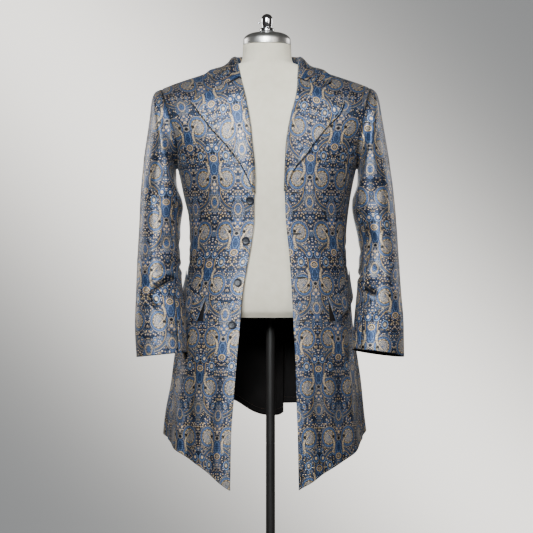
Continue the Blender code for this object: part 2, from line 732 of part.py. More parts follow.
def sleeve_point(side, row, degrees):
    """Outside of a sleeve: the armhole's own curve at row 0, an oval from row 3 down."""
    chart = SLEEVE[side]
    seam = armhole(side, degrees)
    along = armhole(side, (degrees + 1) % 360) - armhole(side, (degrees - 1) % 360)
    along.normalize()
    away = seam - armhole(side, degrees, 0.004)
    away = (away - along * away.dot(along)).normalized()
    start = seam + away * (SEAM + HEAD_REACH * row)
    share = ease(read(chart, "share", row))
    outer = Vector((side * read(chart, "outer_x", row), 0, read(chart, "outer_z", row)))
    inner = Vector((side * read(chart, "inner_x", row), 0, read(chart, "inner_z", row)))
    turn = math.radians(degrees)
    depth = read(chart, "depth", row) - crease_depth(side, row, degrees)
    point = (outer + inner) / 2 + (outer - inner) / 2 * math.cos(turn)
    point.y = read(chart, "middle_y", row) - depth * math.sin(turn)
    point.z += CUFF_PITCH[side] * math.sin(turn) * ease((row - 8) / 4)
    return start.lerp(point, share)


def sleeve_cloth(side, row, degrees):
    """A sleeve's point and its outward direction; at the armhole it is the body's own."""
    point = sleeve_point(side, row, degrees)
    if row == 0:
        return point, body_normal(side, *armhole_place(side, degrees))
    turn, step = 2.0, min(0.1, row / 2)
    round_it = sleeve_point(side, row, (degrees + turn) % 360) - sleeve_point(
        side, row, (degrees - turn) % 360)
    down_it = sleeve_point(side, min(row + step, 12), degrees) - sleeve_point(
        side, row - step, degrees)
    return point, (round_it.cross(down_it) * side).normalized()


def make_sleeve(side, finish):
    """Top sleeve over the outside and front, under sleeve against the body."""
    pieces = (("top_sleeve_", BACK_SEAM_ANGLE - 360, FRONT_SEAM_ANGLE),
              ("under_sleeve_", FRONT_SEAM_ANGLE, BACK_SEAM_ANGLE))
    for name, first, last in pieces:
        count = (last - first) // ARM_STEP
        nudge = math.degrees(SEAM / 0.055)
        rows = []
        for row in SLEEVE_ROWS:
            angles = [first + k * ARM_STEP for k in range(count + 1)]
            angles[0] += nudge
            angles[-1] -= nudge
            rows.append([sleeve_cloth(side, row, angle % 360) for angle in angles])
        wall(name + SIDE_NAME[side], rows, WALL, finish)


# ---------------------------------------------------------------- lapels and collar

def gorge_bend(share, fullness):
    """Rise of the lapel's top edge over a straight line, fullest halfway to the notch."""
    return GORGE_FULLNESS * fullness * 2 * min(share, 1 - share)


def make_lapel(side, finish):
    """Rolls back from the front edge and lies on the chest, up to the gorge."""
    name = SIDE_NAME[side]
    rows = []
    for k in range(LAPEL_ROWS + 1):
        share = k / LAPEL_ROWS
        roll_z = mix(BREAK_Z, GORGE_Z - 0.0005, share)
        outer_z = mix(BREAK_Z, LAPEL_CORNER_Z, share)
        roll_x = edge_x(side, roll_z)
        outer_x = read(LAPEL_EDGE, name, outer_z)
        angle = front_angle(side, roll_x, roll_z)
        edge_point = body_point(side, angle, roll_z)
        normal = body_normal(side, angle, roll_z)
        opening = Vector((-side, 0, 0))
        row = [edge_point + opening * out + normal * forward
               for out, forward in zip(LAPEL_WRAP["out"], LAPEL_WRAP["forward"])]
        for across in LAPEL_SHARES:
            x = mix(roll_x, outer_x, across)
            z = mix(roll_z, outer_z, across) + gorge_bend(across, share ** 6)
            height = LAPEL_LIE + COLLAR_WALL + LAPEL_ROLL * (1 - across) ** 3
            row.append(lifted(side, front_angle(side, x, z), z, height))
        rows.append(row)
    wall("lapel_" + name, directed(rows, Vector((side * 0.4, -1, 0))), COLLAR_WALL, finish)


def neck_seam(side, share):
    """Angle and height of the neckline, from the centre back (0) to the gorge (1)."""
    if share < COLLAR_SIDE:
        x = NECK_X * math.sin(share / COLLAR_SIDE * math.pi / 2)
        z = neckline_height(x)
        return math.pi - front_angle(side, x, z), z
    z = mix(shoulder_height(NECK_X), GORGE_Z + 0.0006, (share - COLLAR_SIDE) / (1 - COLLAR_SIDE))
    return front_angle(side, edge_x(side, z), z), z


def collar_column(side, share):
    """Points across the collar: up the stand's neck side, over the fold, down the leaf."""
    angle, z = neck_seam(side, share)
    seam = body_point(side, angle, z)
    outward = Vector((seam.x, seam.y, 0)).normalized()
    stand = read(COLLAR_EDGE, "stand", share)
    drop = STAND_DROP * (1 - ease((share - 0.7) / 0.3))
    inside = STAND_INSET + STAND_SPRING * ease(1 - abs(share - 0.34) / 0.2)
    column = [seam - outward * inside - UP * drop,
              seam - outward * (inside + 0.0008) + UP * stand * 0.5]
    column += [seam + outward * out + UP * (stand + rise)
               for out, rise in zip(COLLAR_FOLD["out"], COLLAR_FOLD["rise"])]
    for across in LEAF_SHARES:
        x = mix(abs(seam.x), read(COLLAR_EDGE, "x", share), across)
        low = mix(z, read(COLLAR_EDGE, "z", share), across)
        notch = ease((share - 0.75) / 0.25)
        reach = min(across / 0.68, (1 - across) / 0.32)
        low -= NOTCH_BOW * notch * reach
        on_crest = max(0.0, 1 - abs(share - COLLAR_SIDE) / 0.03)
        low = mix(min(low, shoulder_height(x)), shoulder_height(x), on_crest)
        spot = front_angle(side, x, low)
        if share < COLLAR_SIDE:
            spot = math.pi - spot
        rest = lifted(side, spot, low, COLLAR_LIE + COLLAR_WALL + LAPEL_ROLL * (1 - across) ** 3)
        hang = max(0.0, 1 - across / 0.62) ** 1.6
        column.append(rest + UP * stand * hang + outward * FOLD_SPRING * hang)
    return column


def make_collar(finish):
    rows = [collar_column(RIGHT, share) for share in reversed(COLLAR_SHARES)]
    rows += [collar_column(LEFT, share) for share in COLLAR_SHARES[1:]]
    wall("collar", directed(rows, UP), COLLAR_WALL, finish)


# ---------------------------------------------------------------- flaps, linings, buttons

def flap_point(side, share, down, height):
    top_angle = math.radians(read(FLAP, "top_angle", share))
    low_angle = math.radians(read(FLAP, "low_angle", share))
    z = mix(read(FLAP, "top_z", share), read(FLAP, "low_z", share), down)
    height += read(FLAP, "stand_off", share) * down
    return lifted(side, mix(top_angle, low_angle, down), z, height)


def make_flap(side, finish, lining):
    """Slanted flap, and the corner of its lining that shows in front of it."""
    height = LIE + FLAP_LINING_WALL + LIE + FLAP_WALL
    facing = Vector((side, -0.5, 0))
    rows = [[flap_point(side, k / FLAP_COLUMNS, down, height) for k in range(FLAP_COLUMNS + 1)]
            for down in FLAP_ROWS]
    wall("pocket_flap_" + SIDE_NAME[side], directed(rows, facing), FLAP_WALL, finish)
    rows = []
    for down, front, back in zip(CORNER["down"], CORNER["front"], CORNER["back"]):
        row = []
        for k in range(CORNER_COLUMNS + 1):
            angle = mix(front, back, k / CORNER_COLUMNS)
            z = mix(read(FLAP, "top_z", 0), read(FLAP, "low_z", 0), down)
            z += (angle - front) * CORNER_RISE * (1 - down) + 0.002 * down
            row.append(lifted(side, math.radians(angle), z, LIE + FLAP_LINING_WALL))
        rows.append(row)
    wall("flap_lining_" + SIDE_NAME[side], directed(rows, facing), FLAP_LINING_WALL, lining)


def make_skirt_lining(side, finish):
    """Lining inside the back skirt, made from the back's own columns moved in.

    The right one covers the underlap too, and the left one starts beside the underlap's edge.
    """
    columns = back_columns(side)[:-1]
    first = -VENT_COLUMNS if side == RIGHT else UNDERLAP_COLUMN
    rows = []
    for r in range(SKIRT_ROWS + 1):
        row = []
        for c in range(first, len(columns)):
            inset = WALL + LINING_LIE
            if c < 0:
                share = -c / VENT_COLUMNS

                def angle(z):
                    return math.pi + share * angle_at((UNDERLAP - 0.0005) / half_width(RIGHT, z))
            elif side == LEFT and c == first:
                inset += VENT_EASE

                def angle(z):
                    return math.pi - angle_at((UNDERLAP + 0.002) / half_width(LEFT, z))
            else:
                def angle(z):
                    centre = math.pi - seam_turn(side, z)
                    return mix(centre, back_seam(side, z) + seam_turn(side, z), columns[c])
            foot = hem_height(side, angle(HEM_GUESS)) + LINING_RISE
            z = mix(foot, WAIST - LINING_TOP, r / SKIRT_ROWS)
            point, normal = body_cloth(side, angle(z), z)
            row.append((point - normal * inset, normal))
        rows.append(row)
    wall("skirt_lining_" + SIDE_NAME[side], rows, LINING_WALL, finish)


def make_buttons(finish):
    profile = list(zip(BUTTON_PROFILE["radius"], BUTTON_PROFILE["height"]))
    for i, z in enumerate(reversed(BUTTONS["z"])):
        x = read(BUTTONS, "x", z)
        angle = front_angle(RIGHT, x, z)
        button = turned("button_" + str(i + 1), profile, BUTTON_STEPS, finish)
        button.location = lifted(RIGHT, angle, z, read(BUTTONS, "seat", z))
        button.rotation_mode = "QUATERNION"
        button.rotation_quaternion = UP.rotation_difference(body_normal(RIGHT, angle, z))


# ---------------------------------------------------------------- dress form

def form_crest(x):
    """Top of the form's shoulder: just under the coat, and lower inside its neckline."""
    inside = 1 - ease((abs(x) - NECK_X) / 0.04)
    return shoulder_height(x) - FORM_EASE - FORM_NECK_EASE * inside


def trunk_width(z):
    """Half width of the trunk, closing on the shoulder line above the arms' ends."""
    width = read(TORSO, "width", z)
    low, high = 0.0, width
    if form_crest(width) > z:
        return width
    for _ in range(40):
        middle = (low + high) / 2
        if form_crest(middle) > z:
            low = middle
        else:
            high = middle
    return low


def trunk_ring(z):
    """Closed ring of the trunk at one height, inside the coat all round."""
    ring = []
    width = trunk_width(z)
    boxy = mix(2.3, 4.0, ease((z - 1.30) / 0.12))
    for k in range(TORSO_POINTS):
        turn = 2 * math.pi * k / TORSO_POINTS
        x = width * math.sin(turn)
        full = read(TORSO, "width", z)
        closing = max(0.0, 1 - min(abs(x) / full, 1) ** boxy) ** (1 / boxy)
        fore = math.cos(turn) > 0
        depth = read(BODY, "front_depth" if fore else "back_depth", z)
        depth -= read(TORSO, "front_inset" if fore else "back_inset", z)
        y = depth * closing * shoulder_fall(form_crest(x), z)
        neck = NECK_RADIUS * math.sqrt(max(0.0, 1 - (x / NECK_RADIUS) ** 2)) * ease((z - 1.46) / 0.04)
        if not fore:
            neck *= NECK_BACK
        y = max(y, neck)
        ring.append(Vector((x, -y if fore else y, z)))
    return ring


def neck_ring(row):
    z = NECK_ROWS["z"][row]
    ring = []
    for k in range(TORSO_POINTS):
        turn = 2 * math.pi * k / TORSO_POINTS
        along = -math.cos(turn) * NECK_ROWS["half_depth"][row]
        if along > 0:
            along *= NECK_BACK
        ring.append(Vector((NECK_ROWS["half_width"][row] * math.sin(turn), along, z)))
    return ring


def make_torso(finish):
    rings = [trunk_ring(z) for z in TORSO_ROWS]
    rings += [neck_ring(row) for row in range(len(NECK_ROWS["z"]))]
    points = [point for ring in rings for point in ring]
    n = TORSO_POINTS
    faces = [list(range(n))[::-1], [len(points) - n + k for k in range(n)]]
    for r in range(len(rings) - 1):
        for k in range(n):
            step = (k + 1) % n
            faces.append([r * n + k, r * n + step, (r + 1) * n + step, (r + 1) * n + k])
    add_object("torso", points, faces, finish)


def make_stand(silver, chrome, black):
    """Domed neck cap, finial with its ring, set screw, pole and round base."""
    cap_z = NECK_TOP + TOUCH
    cap = [(0.0, CAP_HEIGHT)]
    for k in range(1, 6):
        turn = math.pi / 2 * k / 5
        cap.append((NECK_RADIUS * (0.35 + 0.64 * math.sin(turn) ** 0.9),
                    CAP_HEIGHT * (0.35 + 0.65 * math.cos(turn))))
    cap += [(NECK_RADIUS, 0.0), (0.0, 0.0)]
    turned("neck_cap", cap, 32, silver).location = (0, CAP_Y, cap_z)

    finial_z = cap_z + CAP_HEIGHT + TOUCH
    finial = [(0.0, FINIAL_HEIGHT)]
    for k in range(1, 6):
        turn = math.pi / 2 * k / 5
        finial.append((BALL * math.sin(turn), FINIAL_HEIGHT - BALL * (1 - math.cos(turn))))
    finial += list(zip(FINIAL_FOOT["radius"], FINIAL_FOOT["height"]))
    turned("finial", finial, 20, chrome).location = (0, CAP_Y, finial_z)

    screw = list(zip(SET_SCREW["radius"], SET_SCREW["height"]))
    set_screw = turned("set_screw", screw, 12, chrome)
    set_screw.location = (-BALL - TOUCH, CAP_Y, finial_z + SCREW_Z)
    set_screw.rotation_euler = (0, -math.pi / 2, 0)

    pole_foot = BASE_HEIGHT + TOUCH
    pole_length = FORM_BOTTOM - TOUCH - pole_foot
    bpy.ops.mesh.primitive_cylinder_add(
        vertices=24, radius=POLE_RADIUS, depth=pole_length,
        location=(POLE_X, 0, pole_foot + pole_length / 2))
    pole = bpy.context.active_object
    pole.name = pole.data.name = "pole"
    pole.data.materials.append(black)
    bpy.context.collection.objects.unlink(pole)
    bpy.data.collections["frock_coat"].objects.link(pole)

    base = list(zip(BASE["radius"], BASE["height"]))
    turned("stand_base", base, 40, black).location = (POLE_X, 0, 0)


# ---------------------------------------------------------------- the whole

def clear_scene():
    for old in list(bpy.data.objects):
        bpy.data.objects.remove(old, do_unlink=True)
    bpy.context.scene.collection.children.link(bpy.data.collections.new("frock_coat"))


def main():
    clear_scene()
    brocade = material("brocade", (0.16, 0.20, 0.30), 0.45)
    satin = material("black_satin", (0.01, 0.01, 0.012), 0.35)
    horn = material("black_button", (0.02, 0.02, 0.024), 0.3)
    linen = material("cream_linen", (0.72, 0.68, 0.58), 0.85)
    silver = material("brushed_silver", (0.72, 0.71, 0.69), 0.35, 1.0)
    chrome = material("chrome", (0.8, 0.8, 0.82), 0.1, 1.0)
    black = material("black_stand", (0.02, 0.02, 0.02), 0.4, 0.2)
    for side in (RIGHT, LEFT):
        make_front(side, brocade)
        make_side(side, brocade)
        make_back(side, brocade)
        make_sleeve(side, brocade)
        make_lapel(side, brocade)
        make_flap(side, brocade, satin)
        make_skirt_lining(side, satin)
    make_collar(brocade)
    make_buttons(horn)
    make_torso(linen)
    make_stand(silver, chrome, black)


main()
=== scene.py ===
import math
from bisect import bisect_right

import bpy
import numpy as np
from mathutils import Euler, Matrix, Vector


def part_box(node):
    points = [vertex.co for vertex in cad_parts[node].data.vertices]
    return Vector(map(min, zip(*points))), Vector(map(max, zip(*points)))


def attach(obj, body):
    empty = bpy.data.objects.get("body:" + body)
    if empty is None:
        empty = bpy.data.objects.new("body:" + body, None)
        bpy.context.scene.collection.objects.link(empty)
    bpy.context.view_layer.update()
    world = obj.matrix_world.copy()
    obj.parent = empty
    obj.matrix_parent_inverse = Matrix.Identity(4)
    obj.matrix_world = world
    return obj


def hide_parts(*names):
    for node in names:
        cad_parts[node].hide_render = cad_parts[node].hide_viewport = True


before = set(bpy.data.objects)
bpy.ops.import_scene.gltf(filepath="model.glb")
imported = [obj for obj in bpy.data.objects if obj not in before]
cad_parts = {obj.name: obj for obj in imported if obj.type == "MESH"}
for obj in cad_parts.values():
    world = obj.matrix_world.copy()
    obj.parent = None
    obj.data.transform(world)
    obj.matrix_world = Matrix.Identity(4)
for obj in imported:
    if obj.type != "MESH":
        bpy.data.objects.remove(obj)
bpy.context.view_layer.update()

# Frock coat of paisley brocade on a limbless dress form. Metres, +Z up, front to -Y and the
# wearer's right at -X. The cloth is cut on the same body and sleeve surfaces as the solids.

# ---- cloth ----
WALL = 0.0016  # brocade, interlining and lining together
COLLAR_WALL = 0.0016
LINING_WALL = 0.0010
LINING_RISE = 0.003  # how far the lining stops above the hem
LINING_LIE = 0.0010  # how far the skirt lining hangs inside the cloth
LINING_TOP = 0.004  # how far below the waist it begins
VENT_EASE = 0.0012  # how much further in the left lining hangs beside the underlap
UNDERLAP_IN = 0.0005  # how far the lining stays inside the underlap's edge
UNDERLAP_OUT = 0.002  # and the left one's first column beyond it
SEAM = 0.0005  # clearance between two sewn panels
LIE = 0.0006  # clearance under a piece that lies on a panel
LAPEL_LIE = 0.0014  # the same under the lapels and collar, which spring a little
COLLAR_LIE = 0.0017
UP = Vector((0, 0, 1))

# ---- the body surface ----
SQUARENESS = 2.3  # 2 is an ellipse; higher is boxier
SHOULDER_ROUND = 0.085  # how far below the shoulder line the chest reaches its full depth
UNDERARM = 1.262  # lowest point of the armholes
WAIST = 1.03  # also the top of the back vent
HEM_GUESS = 0.70  # where the search for a column's hem height begins
TOP_GUESS = 1.48  # and the one for its height at the shoulder
LAP = 0.0031  # how far the left back stands off to cover the vent's underlap
UNDERLAP = 0.0395  # how far the underlap passes the centre back
LAP_FADE = 0.03
NECK_X = 0.078  # half width of the neckline at the shoulder seams
BACK_NECK_Z = 1.498
GORGE_Z = 1.4660  # where the lapel ends and the collar begins, on the front edge
LAPEL_STOP = 0.0005  # how far under the gorge the lapel ends
COLLAR_STOP = 0.0006  # and how far over it the collar begins
BREAK_Z = 1.213  # where the lapel starts to roll, just above the top button
RIGHT, LEFT = -1, 1  # the wearer's sides, as the sign of X
SIDE_NAME = {RIGHT: "right", LEFT: "left"}

# ---- counts ----
FRONT_COLUMNS = 16
NECK_COLUMNS = (0, 0.12, 0.30, 0.50, 0.70, 0.87, 1)  # shares of the back, centre to neck point
BACK_COLUMNS = (0.14, 0.30, 0.48, 0.66, 0.82, 0.93, 1)  # and on to the armhole
VENT_COLUMNS = 4
SKIRT_ROWS = 18
BODICE_ROWS = 12
ARM_STEP = 5  # degrees between two points of an armhole
UNDER_ANGLE = 120  # armhole angle where the panels' straight sides begin

# ---- dress form ----
POLE_X = 0.008
FORM_EASE = 0.0035  # below the coat's outside, where it carries the coat
FORM_NECK_EASE = 0.004  # further below it inside the neckline
FORM_SQUARENESS = 4.0  # of the form's own oval at its shoulders
FORM_BOTTOM = 0.930
NECK_TOP = 1.5535
NECK_RADIUS = 0.055
CAP_HEIGHT = 0.0285
CAP_Y = -0.002  # the neck's middle
FINIAL_HEIGHT = 0.043
TOUCH = 0.0003  # clearance between the stand's parts
POLE_RADIUS = 0.0105
BASE_HEIGHT = 0.030  # at the collar round the pole


def table(columns, *rows):
    """Rows of numbers under named columns, kept as one list for each column."""
    return {name: [row[i] for row in rows] for i, name in enumerate(columns.split())}


# Half widths of each side and depths before and behind the shoulder line, hem to neck.
BODY = table(
    "z right_width left_width front_depth back_depth",
    (0.550, 0.241, 0.2310, 0.166, 0.190),
    (0.600, 0.240, 0.2310, 0.163, 0.187),
    (0.655, 0.236, 0.2275, 0.158, 0.183),
    (0.711, 0.230, 0.2210, 0.153, 0.176),
    (0.784, 0.217, 0.2140, 0.148, 0.166),
    (0.821, 0.213, 0.2090, 0.145, 0.160),
    (0.900, 0.203, 0.1985, 0.137, 0.147),
    (0.960, 0.195, 0.1930, 0.129, 0.134),
    (1.000, 0.188, 0.1895, 0.123, 0.124),
    (1.036, 0.182, 0.1855, 0.118, 0.115),
    (1.077, 0.178, 0.1815, 0.115, 0.110),
    (1.120, 0.178, 0.1822, 0.1155, 0.110),
    (1.157, 0.180, 0.1855, 0.118, 0.112),
    (1.200, 0.190, 0.1912, 0.124, 0.120),
    (1.262, 0.2035, 0.2035, 0.128, 0.128),
    (1.300, 0.2185, 0.2185, 0.128, 0.130),
    (1.350, 0.247, 0.247, 0.121, 0.126),
    (1.400, 0.275, 0.275, 0.106, 0.117),
    (1.450, 0.300, 0.300, 0.086, 0.104),
    (1.500, 0.315, 0.315, 0.070, 0.090),
    (1.530, 0.320, 0.320, 0.062, 0.078))

# Height of the shoulder line over each distance from the centre.
SHOULDER = table(
    "x z",
    (0.000, 1.5220), (0.078, 1.5085), (0.100, 1.5015), (0.140, 1.4885), (0.180, 1.4755),
    (0.210, 1.4655), (0.2415, 1.4530), (0.270, 1.4400))

# The free front edge, then the roll line of the lapel, then the neck.
FRONT_EDGE = table(
    "z right left",
    (0.550, 0.0815, 0.0700), (0.662, 0.0798, 0.0683), (0.747, 0.0740, 0.0653),
    (0.832, 0.0674, 0.0632), (0.917, 0.0600, 0.0591), (0.980, 0.0555, 0.0560),
    (1.044, 0.0451, 0.0520), (1.093, 0.0360, 0.0480), (1.157, 0.0293, 0.0418),
    (1.213, 0.0289, 0.0400), (1.262, 0.0290, 0.0415), (1.313, 0.0340, 0.0440),
    (1.356, 0.0380, 0.0500), (1.390, 0.0430, 0.0570), (1.430, 0.0505, 0.0675),
    (1.466, 0.0600, 0.0715), (1.511, 0.0740, 0.0760))

# The armhole seam as it shows from the front.
ARMHOLE = table(
    "z right left",
    (1.300, 0.2032, 0.2035), (1.3185, 0.2042, 0.2045), (1.353, 0.2112, 0.2110),
    (1.379, 0.2198, 0.2180), (1.4174, 0.2302, 0.2265), (1.453, 0.2415, 0.2345))

# Hem height at each angle round the body, from the centre front to the centre back and on
# to the end of the underlap.
HEM = table(
    "angle right left",
    (14.0, 0.5480, 0.5480), (16.5, 0.5490, 0.5507), (19.0, 0.5507, 0.5560),
    (25.0, 0.5658, 0.5690), (30.0, 0.5823, 0.5823), (36.0, 0.5985, 0.5940),
    (43.0, 0.6130, 0.6065), (50.0, 0.6270, 0.6200), (62.0, 0.6420, 0.6390),
    (72.0, 0.6550, 0.6570), (90.0, 0.6700, 0.6760), (110.0, 0.6910, 0.6950),
    (130.0, 0.7120, 0.7110), (150.0, 0.7245, 0.7170), (159.8, 0.7240, 0.7174),
    (163.7, 0.7174, 0.7174), (169.0, 0.7032, 0.7174), (174.0, 0.6934, 0.7172),
    (180.0, 0.6880, 0.7168), (184.8, 0.6878, 0.7168), (187.8, 0.6895, 0.7168),
    (189.9, 0.6955, 0.7168))

# How many degrees the side body narrows away from the armhole, going down.
SIDE_SEAM = table(
    "z front_swing back_swing",
    (0.60, 10.0, 8.0), (0.90, 10.0, 6.0), (1.05, 9.0, 3.0), (1.245, 0.0, 0.0))

# Sleeves: each row is a section through the points where its outer and inner lines lie. A share
# of 0 follows the armhole's curve and 1 is an oval of the given half depth.
SLEEVE = {
    RIGHT: table(
        "row outer_x outer_z inner_x inner_z depth middle_y share",
        (0, 0.2415, 1.4530, 0.2035, 1.2620, 0.080, 0.000, 0.00),
        (1, 0.2560, 1.4455, 0.2080, 1.2590, 0.082, 0.000, 0.45),
        (2, 0.2650, 1.4220, 0.2075, 1.2360, 0.081, 0.000, 0.85),
        (3, 0.2690, 1.3910, 0.2035, 1.2170, 0.079, 0.000, 1.00),
        (4, 0.2745, 1.3500, 0.1960, 1.2000, 0.077, -0.002, 1.00),
        (5, 0.2820, 1.3000, 0.1925, 1.1800, 0.074, -0.003, 1.00),
        (6, 0.2870, 1.2500, 0.1960, 1.1550, 0.071, -0.006, 1.00),
        (7, 0.2900, 1.1900, 0.1988, 1.1220, 0.067, -0.014, 1.00),
        (8, 0.2925, 1.1250, 0.1985, 1.0800, 0.063, -0.027, 1.00),
        (9, 0.2950, 1.0550, 0.1945, 1.0300, 0.059, -0.045, 1.00),
        (10, 0.2960, 0.9850, 0.1890, 0.9750, 0.053, -0.068, 1.00),
        (11, 0.2970, 0.9150, 0.1815, 0.9120, 0.048, -0.088, 1.00),
        (12, 0.2925, 0.8425, 0.1790, 0.8537, 0.045, -0.098, 1.00)),
    LEFT: table(
        "row outer_x outer_z inner_x inner_z depth middle_y share",
        (0, 0.2345, 1.4550, 0.2035, 1.2620, 0.080, 0.000, 0.00),
        (1, 0.2490, 1.4440, 0.2080, 1.2590, 0.082, 0.000, 0.45),
        (2, 0.2580, 1.4220, 0.2075, 1.2360, 0.081, 0.000, 0.85),
        (3, 0.2635, 1.3910, 0.2035, 1.2170, 0.079, 0.000, 1.00),
        (4, 0.2705, 1.3500, 0.1965, 1.2000, 0.077, -0.002, 1.00),
        (5, 0.2790, 1.3000, 0.1950, 1.1800, 0.074, -0.003, 1.00),
        (6, 0.2860, 1.2500, 0.1985, 1.1550, 0.071, -0.005, 1.00),
        (7, 0.2920, 1.1900, 0.2060, 1.1220, 0.067, -0.010, 1.00),
        (8, 0.2975, 1.1250, 0.2110, 1.0870, 0.063, -0.019, 1.00),
        (9, 0.3010, 1.0550, 0.2085, 1.0350, 0.059, -0.033, 1.00),
        (10, 0.3045, 0.9850, 0.2025, 0.9800, 0.054, -0.052, 1.00),
        (11, 0.3085, 0.9150, 0.1955, 0.9180, 0.050, -0.072, 1.00),
        (12, 0.3085, 0.8430, 0.1905, 0.8590, 0.047, -0.086, 1.00)),
}
SLEEVE_ROWS = (0, 0.3, 0.65, 1, 1.5, 2, 2.5, 3, 3.5, 4, 4.5, 5, 5.5, 6, 6.5, 7, 7.5, 8, 8.3, 8.6,
               8.9, 9.2, 9.5, 9.8, 10.1, 10.4, 10.7, 11.0, 11.4, 12)
HEAD_REACH = 0.014  # how far the sleeve head stands out past the armhole at row 1
HEAD_BASE = 0.004  # how much of the panel inside the armhole gives the way it stands out
FRONT_SEAM_ANGLE = 135  # the sleeve's two seams, in degrees round it from the top
BACK_SEAM_ANGLE = 270
CUFF_PITCH = {RIGHT: 0.002, LEFT: 0.006}  # how much higher the cuff's front edge is

# Sleeve creases: soft troughs at the crook of the arm, across the front of each sleeve.
CREASES = {
    RIGHT: table(
        "row angle slope length width depth",
        (9.00, 118, -0.010, 60, 0.35, 0.009),
        (9.75, 60, 0.012, 48, 0.40, 0.004),
        (10.55, 112, 0.008, 32, 0.30, 0.004),
        (9.40, 250, 0.006, 55, 0.40, 0.006)),
    LEFT: table(
        "row angle slope length width depth",
        (9.55, 122, 0.010, 48, 0.35, 0.008),
        (8.70, 105, -0.008, 40, 0.40, 0.004),
        (10.60, 75, -0.008, 40, 0.40, 0.003),
        (9.20, 250, -0.006, 55, 0.40, 0.006)),
}

# Soft upright folds of the skirt: how far the cloth stands out or in at the hem.
FOLDS = table(
    "angle right left",
    (0, 0.000, 0.000), (30, 0.001, 0.001), (42, -0.003, -0.004), (53, 0.004, 0.003),
    (66, -0.005, -0.004), (80, 0.003, 0.002), (98, -0.004, -0.004), (116, 0.005, 0.004),
    (134, -0.004, -0.005), (150, 0.004, 0.004), (164, 0.000, 0.000), (200, 0.000, 0.000))

# The lapel's outer edge, from the break up to its corner.
LAPEL_EDGE = table(
    "z right left",
    (1.213, 0.0320, 0.0435), (1.243, 0.0440, 0.0520), (1.270, 0.0580, 0.0670),
    (1.290, 0.0720, 0.0860), (1.316, 0.0925, 0.1030), (1.338, 0.1125, 0.1205),
    (1.358, 0.1300, 0.1370), (1.385, 0.1500, 0.1640), (1.398, 0.1600, 0.1700),
    (1.4135, 0.1730, 0.1745))
LAPEL_CORNER_Z = 1.4135
LAPEL_ROWS = 12
LAPEL_ROLL = 0.0036  # how far the rolled edge stands off the chest
LAPEL_SHARES = (0.0, 0.1, 0.25, 0.45, 0.65, 0.85, 1.0)

# How the lapel's roll wraps the front edge: out past the edge, and forward of it.
LAPEL_WRAP = table("out forward", (0.0026, -0.0010), (0.0030, 0.0008), (0.0018, 0.0030))
GORGE_FULLNESS = 0.006  # how far the gorge seam bows at its middle

# The collar's outer edge, from the centre back to its front corner, and its stand.
COLLAR_EDGE = table(
    "share x z stand",
    (0.00, 0.0000, 1.4640, 0.0320), (0.15, 0.0400, 1.4650, 0.0290),
    (0.30, 0.0850, 1.4730, 0.0200), (0.45, 0.1170, 1.4980, 0.0140),
    (0.60, 0.1360, 1.4850, 0.0115), (0.80, 0.1460, 1.4730, 0.0080),
    (1.00, 0.1456, 1.4620, 0.0030))

# The collar's fold over the top of its stand: out from the neckline and above the stand.
COLLAR_FOLD = table(
    "out rise", (-0.0048, 0.0002), (-0.0034, 0.0030), (-0.0004, 0.0042), (0.0030, 0.0030))
COLLAR_SIDE = 0.45  # the share where the collar crosses the shoulder seam
STAND_INSET = 0.0028  # how far inside the neckline the stand begins
STAND_SPRING = 0.0022  # how much further at the sides of the neck
STAND_DROP = 0.003  # how far below the seam it reaches, fading out towards the gorge
FOLD_SPRING = 0.003  # how far the leaf springs out just below the fold
NOTCH_BOW = 0.0165  # how far the leaf's front dips to lie along the gorge
COLLAR_SHARES = (0, 0.12, 0.22, 0.30, 0.36, 0.41, 0.45, 0.49, 0.54, 0.62, 0.72, 0.82, 0.91, 1)
LEAF_SHARES = (0.14, 0.30, 0.48, 0.68, 0.84, 1.0)

# Pocket flaps: angle round the body and height of the upper and lower edges, front to back.
FLAP = table(
    "share top_angle top_z low_angle low_z stand_off",
    (0.00, 42.5, 0.9770, 47.0, 0.9210, 0.0030),
    (0.25, 55.0, 0.9970, 57.0, 0.9400, 0.0015),
    (0.50, 67.0, 1.0133, 68.0, 0.9566, 0.0006),
    (1.00, 84.0, 1.0350, 84.5, 0.9790, 0.0000))
FLAP_COLUMNS = 9
FLAP_ROWS = (0, 0.33, 0.67, 1)
FLAP_WALL = 0.0018
FLAP_LINING_WALL = 0.0010

# The corner of flap lining that shows in front of each flap: its front and back edges' angles.
CORNER = table("down front back", (0.02, 43.0, 48.2), (0.35, 43.0, 50.8), (0.68, 43.0, 53.4),
               (1.00, 43.0, 47.6))
CORNER_COLUMNS = 4
CORNER_RISE = 0.0012  # how much its top edge climbs with each degree
CORNER_LIFT = 0.002  # how much higher than the flap its lower edge lies

# Buttons on the wearer's right front.
BUTTONS = table(
    "z x seat",
    (0.915, 0.0766, 0.0006), (1.009, 0.0645, 0.0006), (1.1028, 0.0469, 0.0006),
    (1.1924, 0.0375, 0.0001))
BUTTON_PROFILE = table(
    "radius height",
    (0.0000, 0.0030), (0.0060, 0.0030), (0.0072, 0.0042), (0.0084, 0.0043),
    (0.0094, 0.0030), (0.0092, 0.0012), (0.0076, 0.0000), (0.0000, 0.0000))
HOLE_AT = 0.0024  # its four holes' distance from the middle
HOLE_RADIUS = 0.0009
DRILL_Z, DRILL_LENGTH = 0.0022, 0.004  # the cut of a hole, through the whole button
THREAD_TOP = 0.0031  # height of the crossing threads on it
THREAD_DOWN = 0.0012  # how far they go down into the holes
BUTTON_THREAD = 0.00035  # their radius

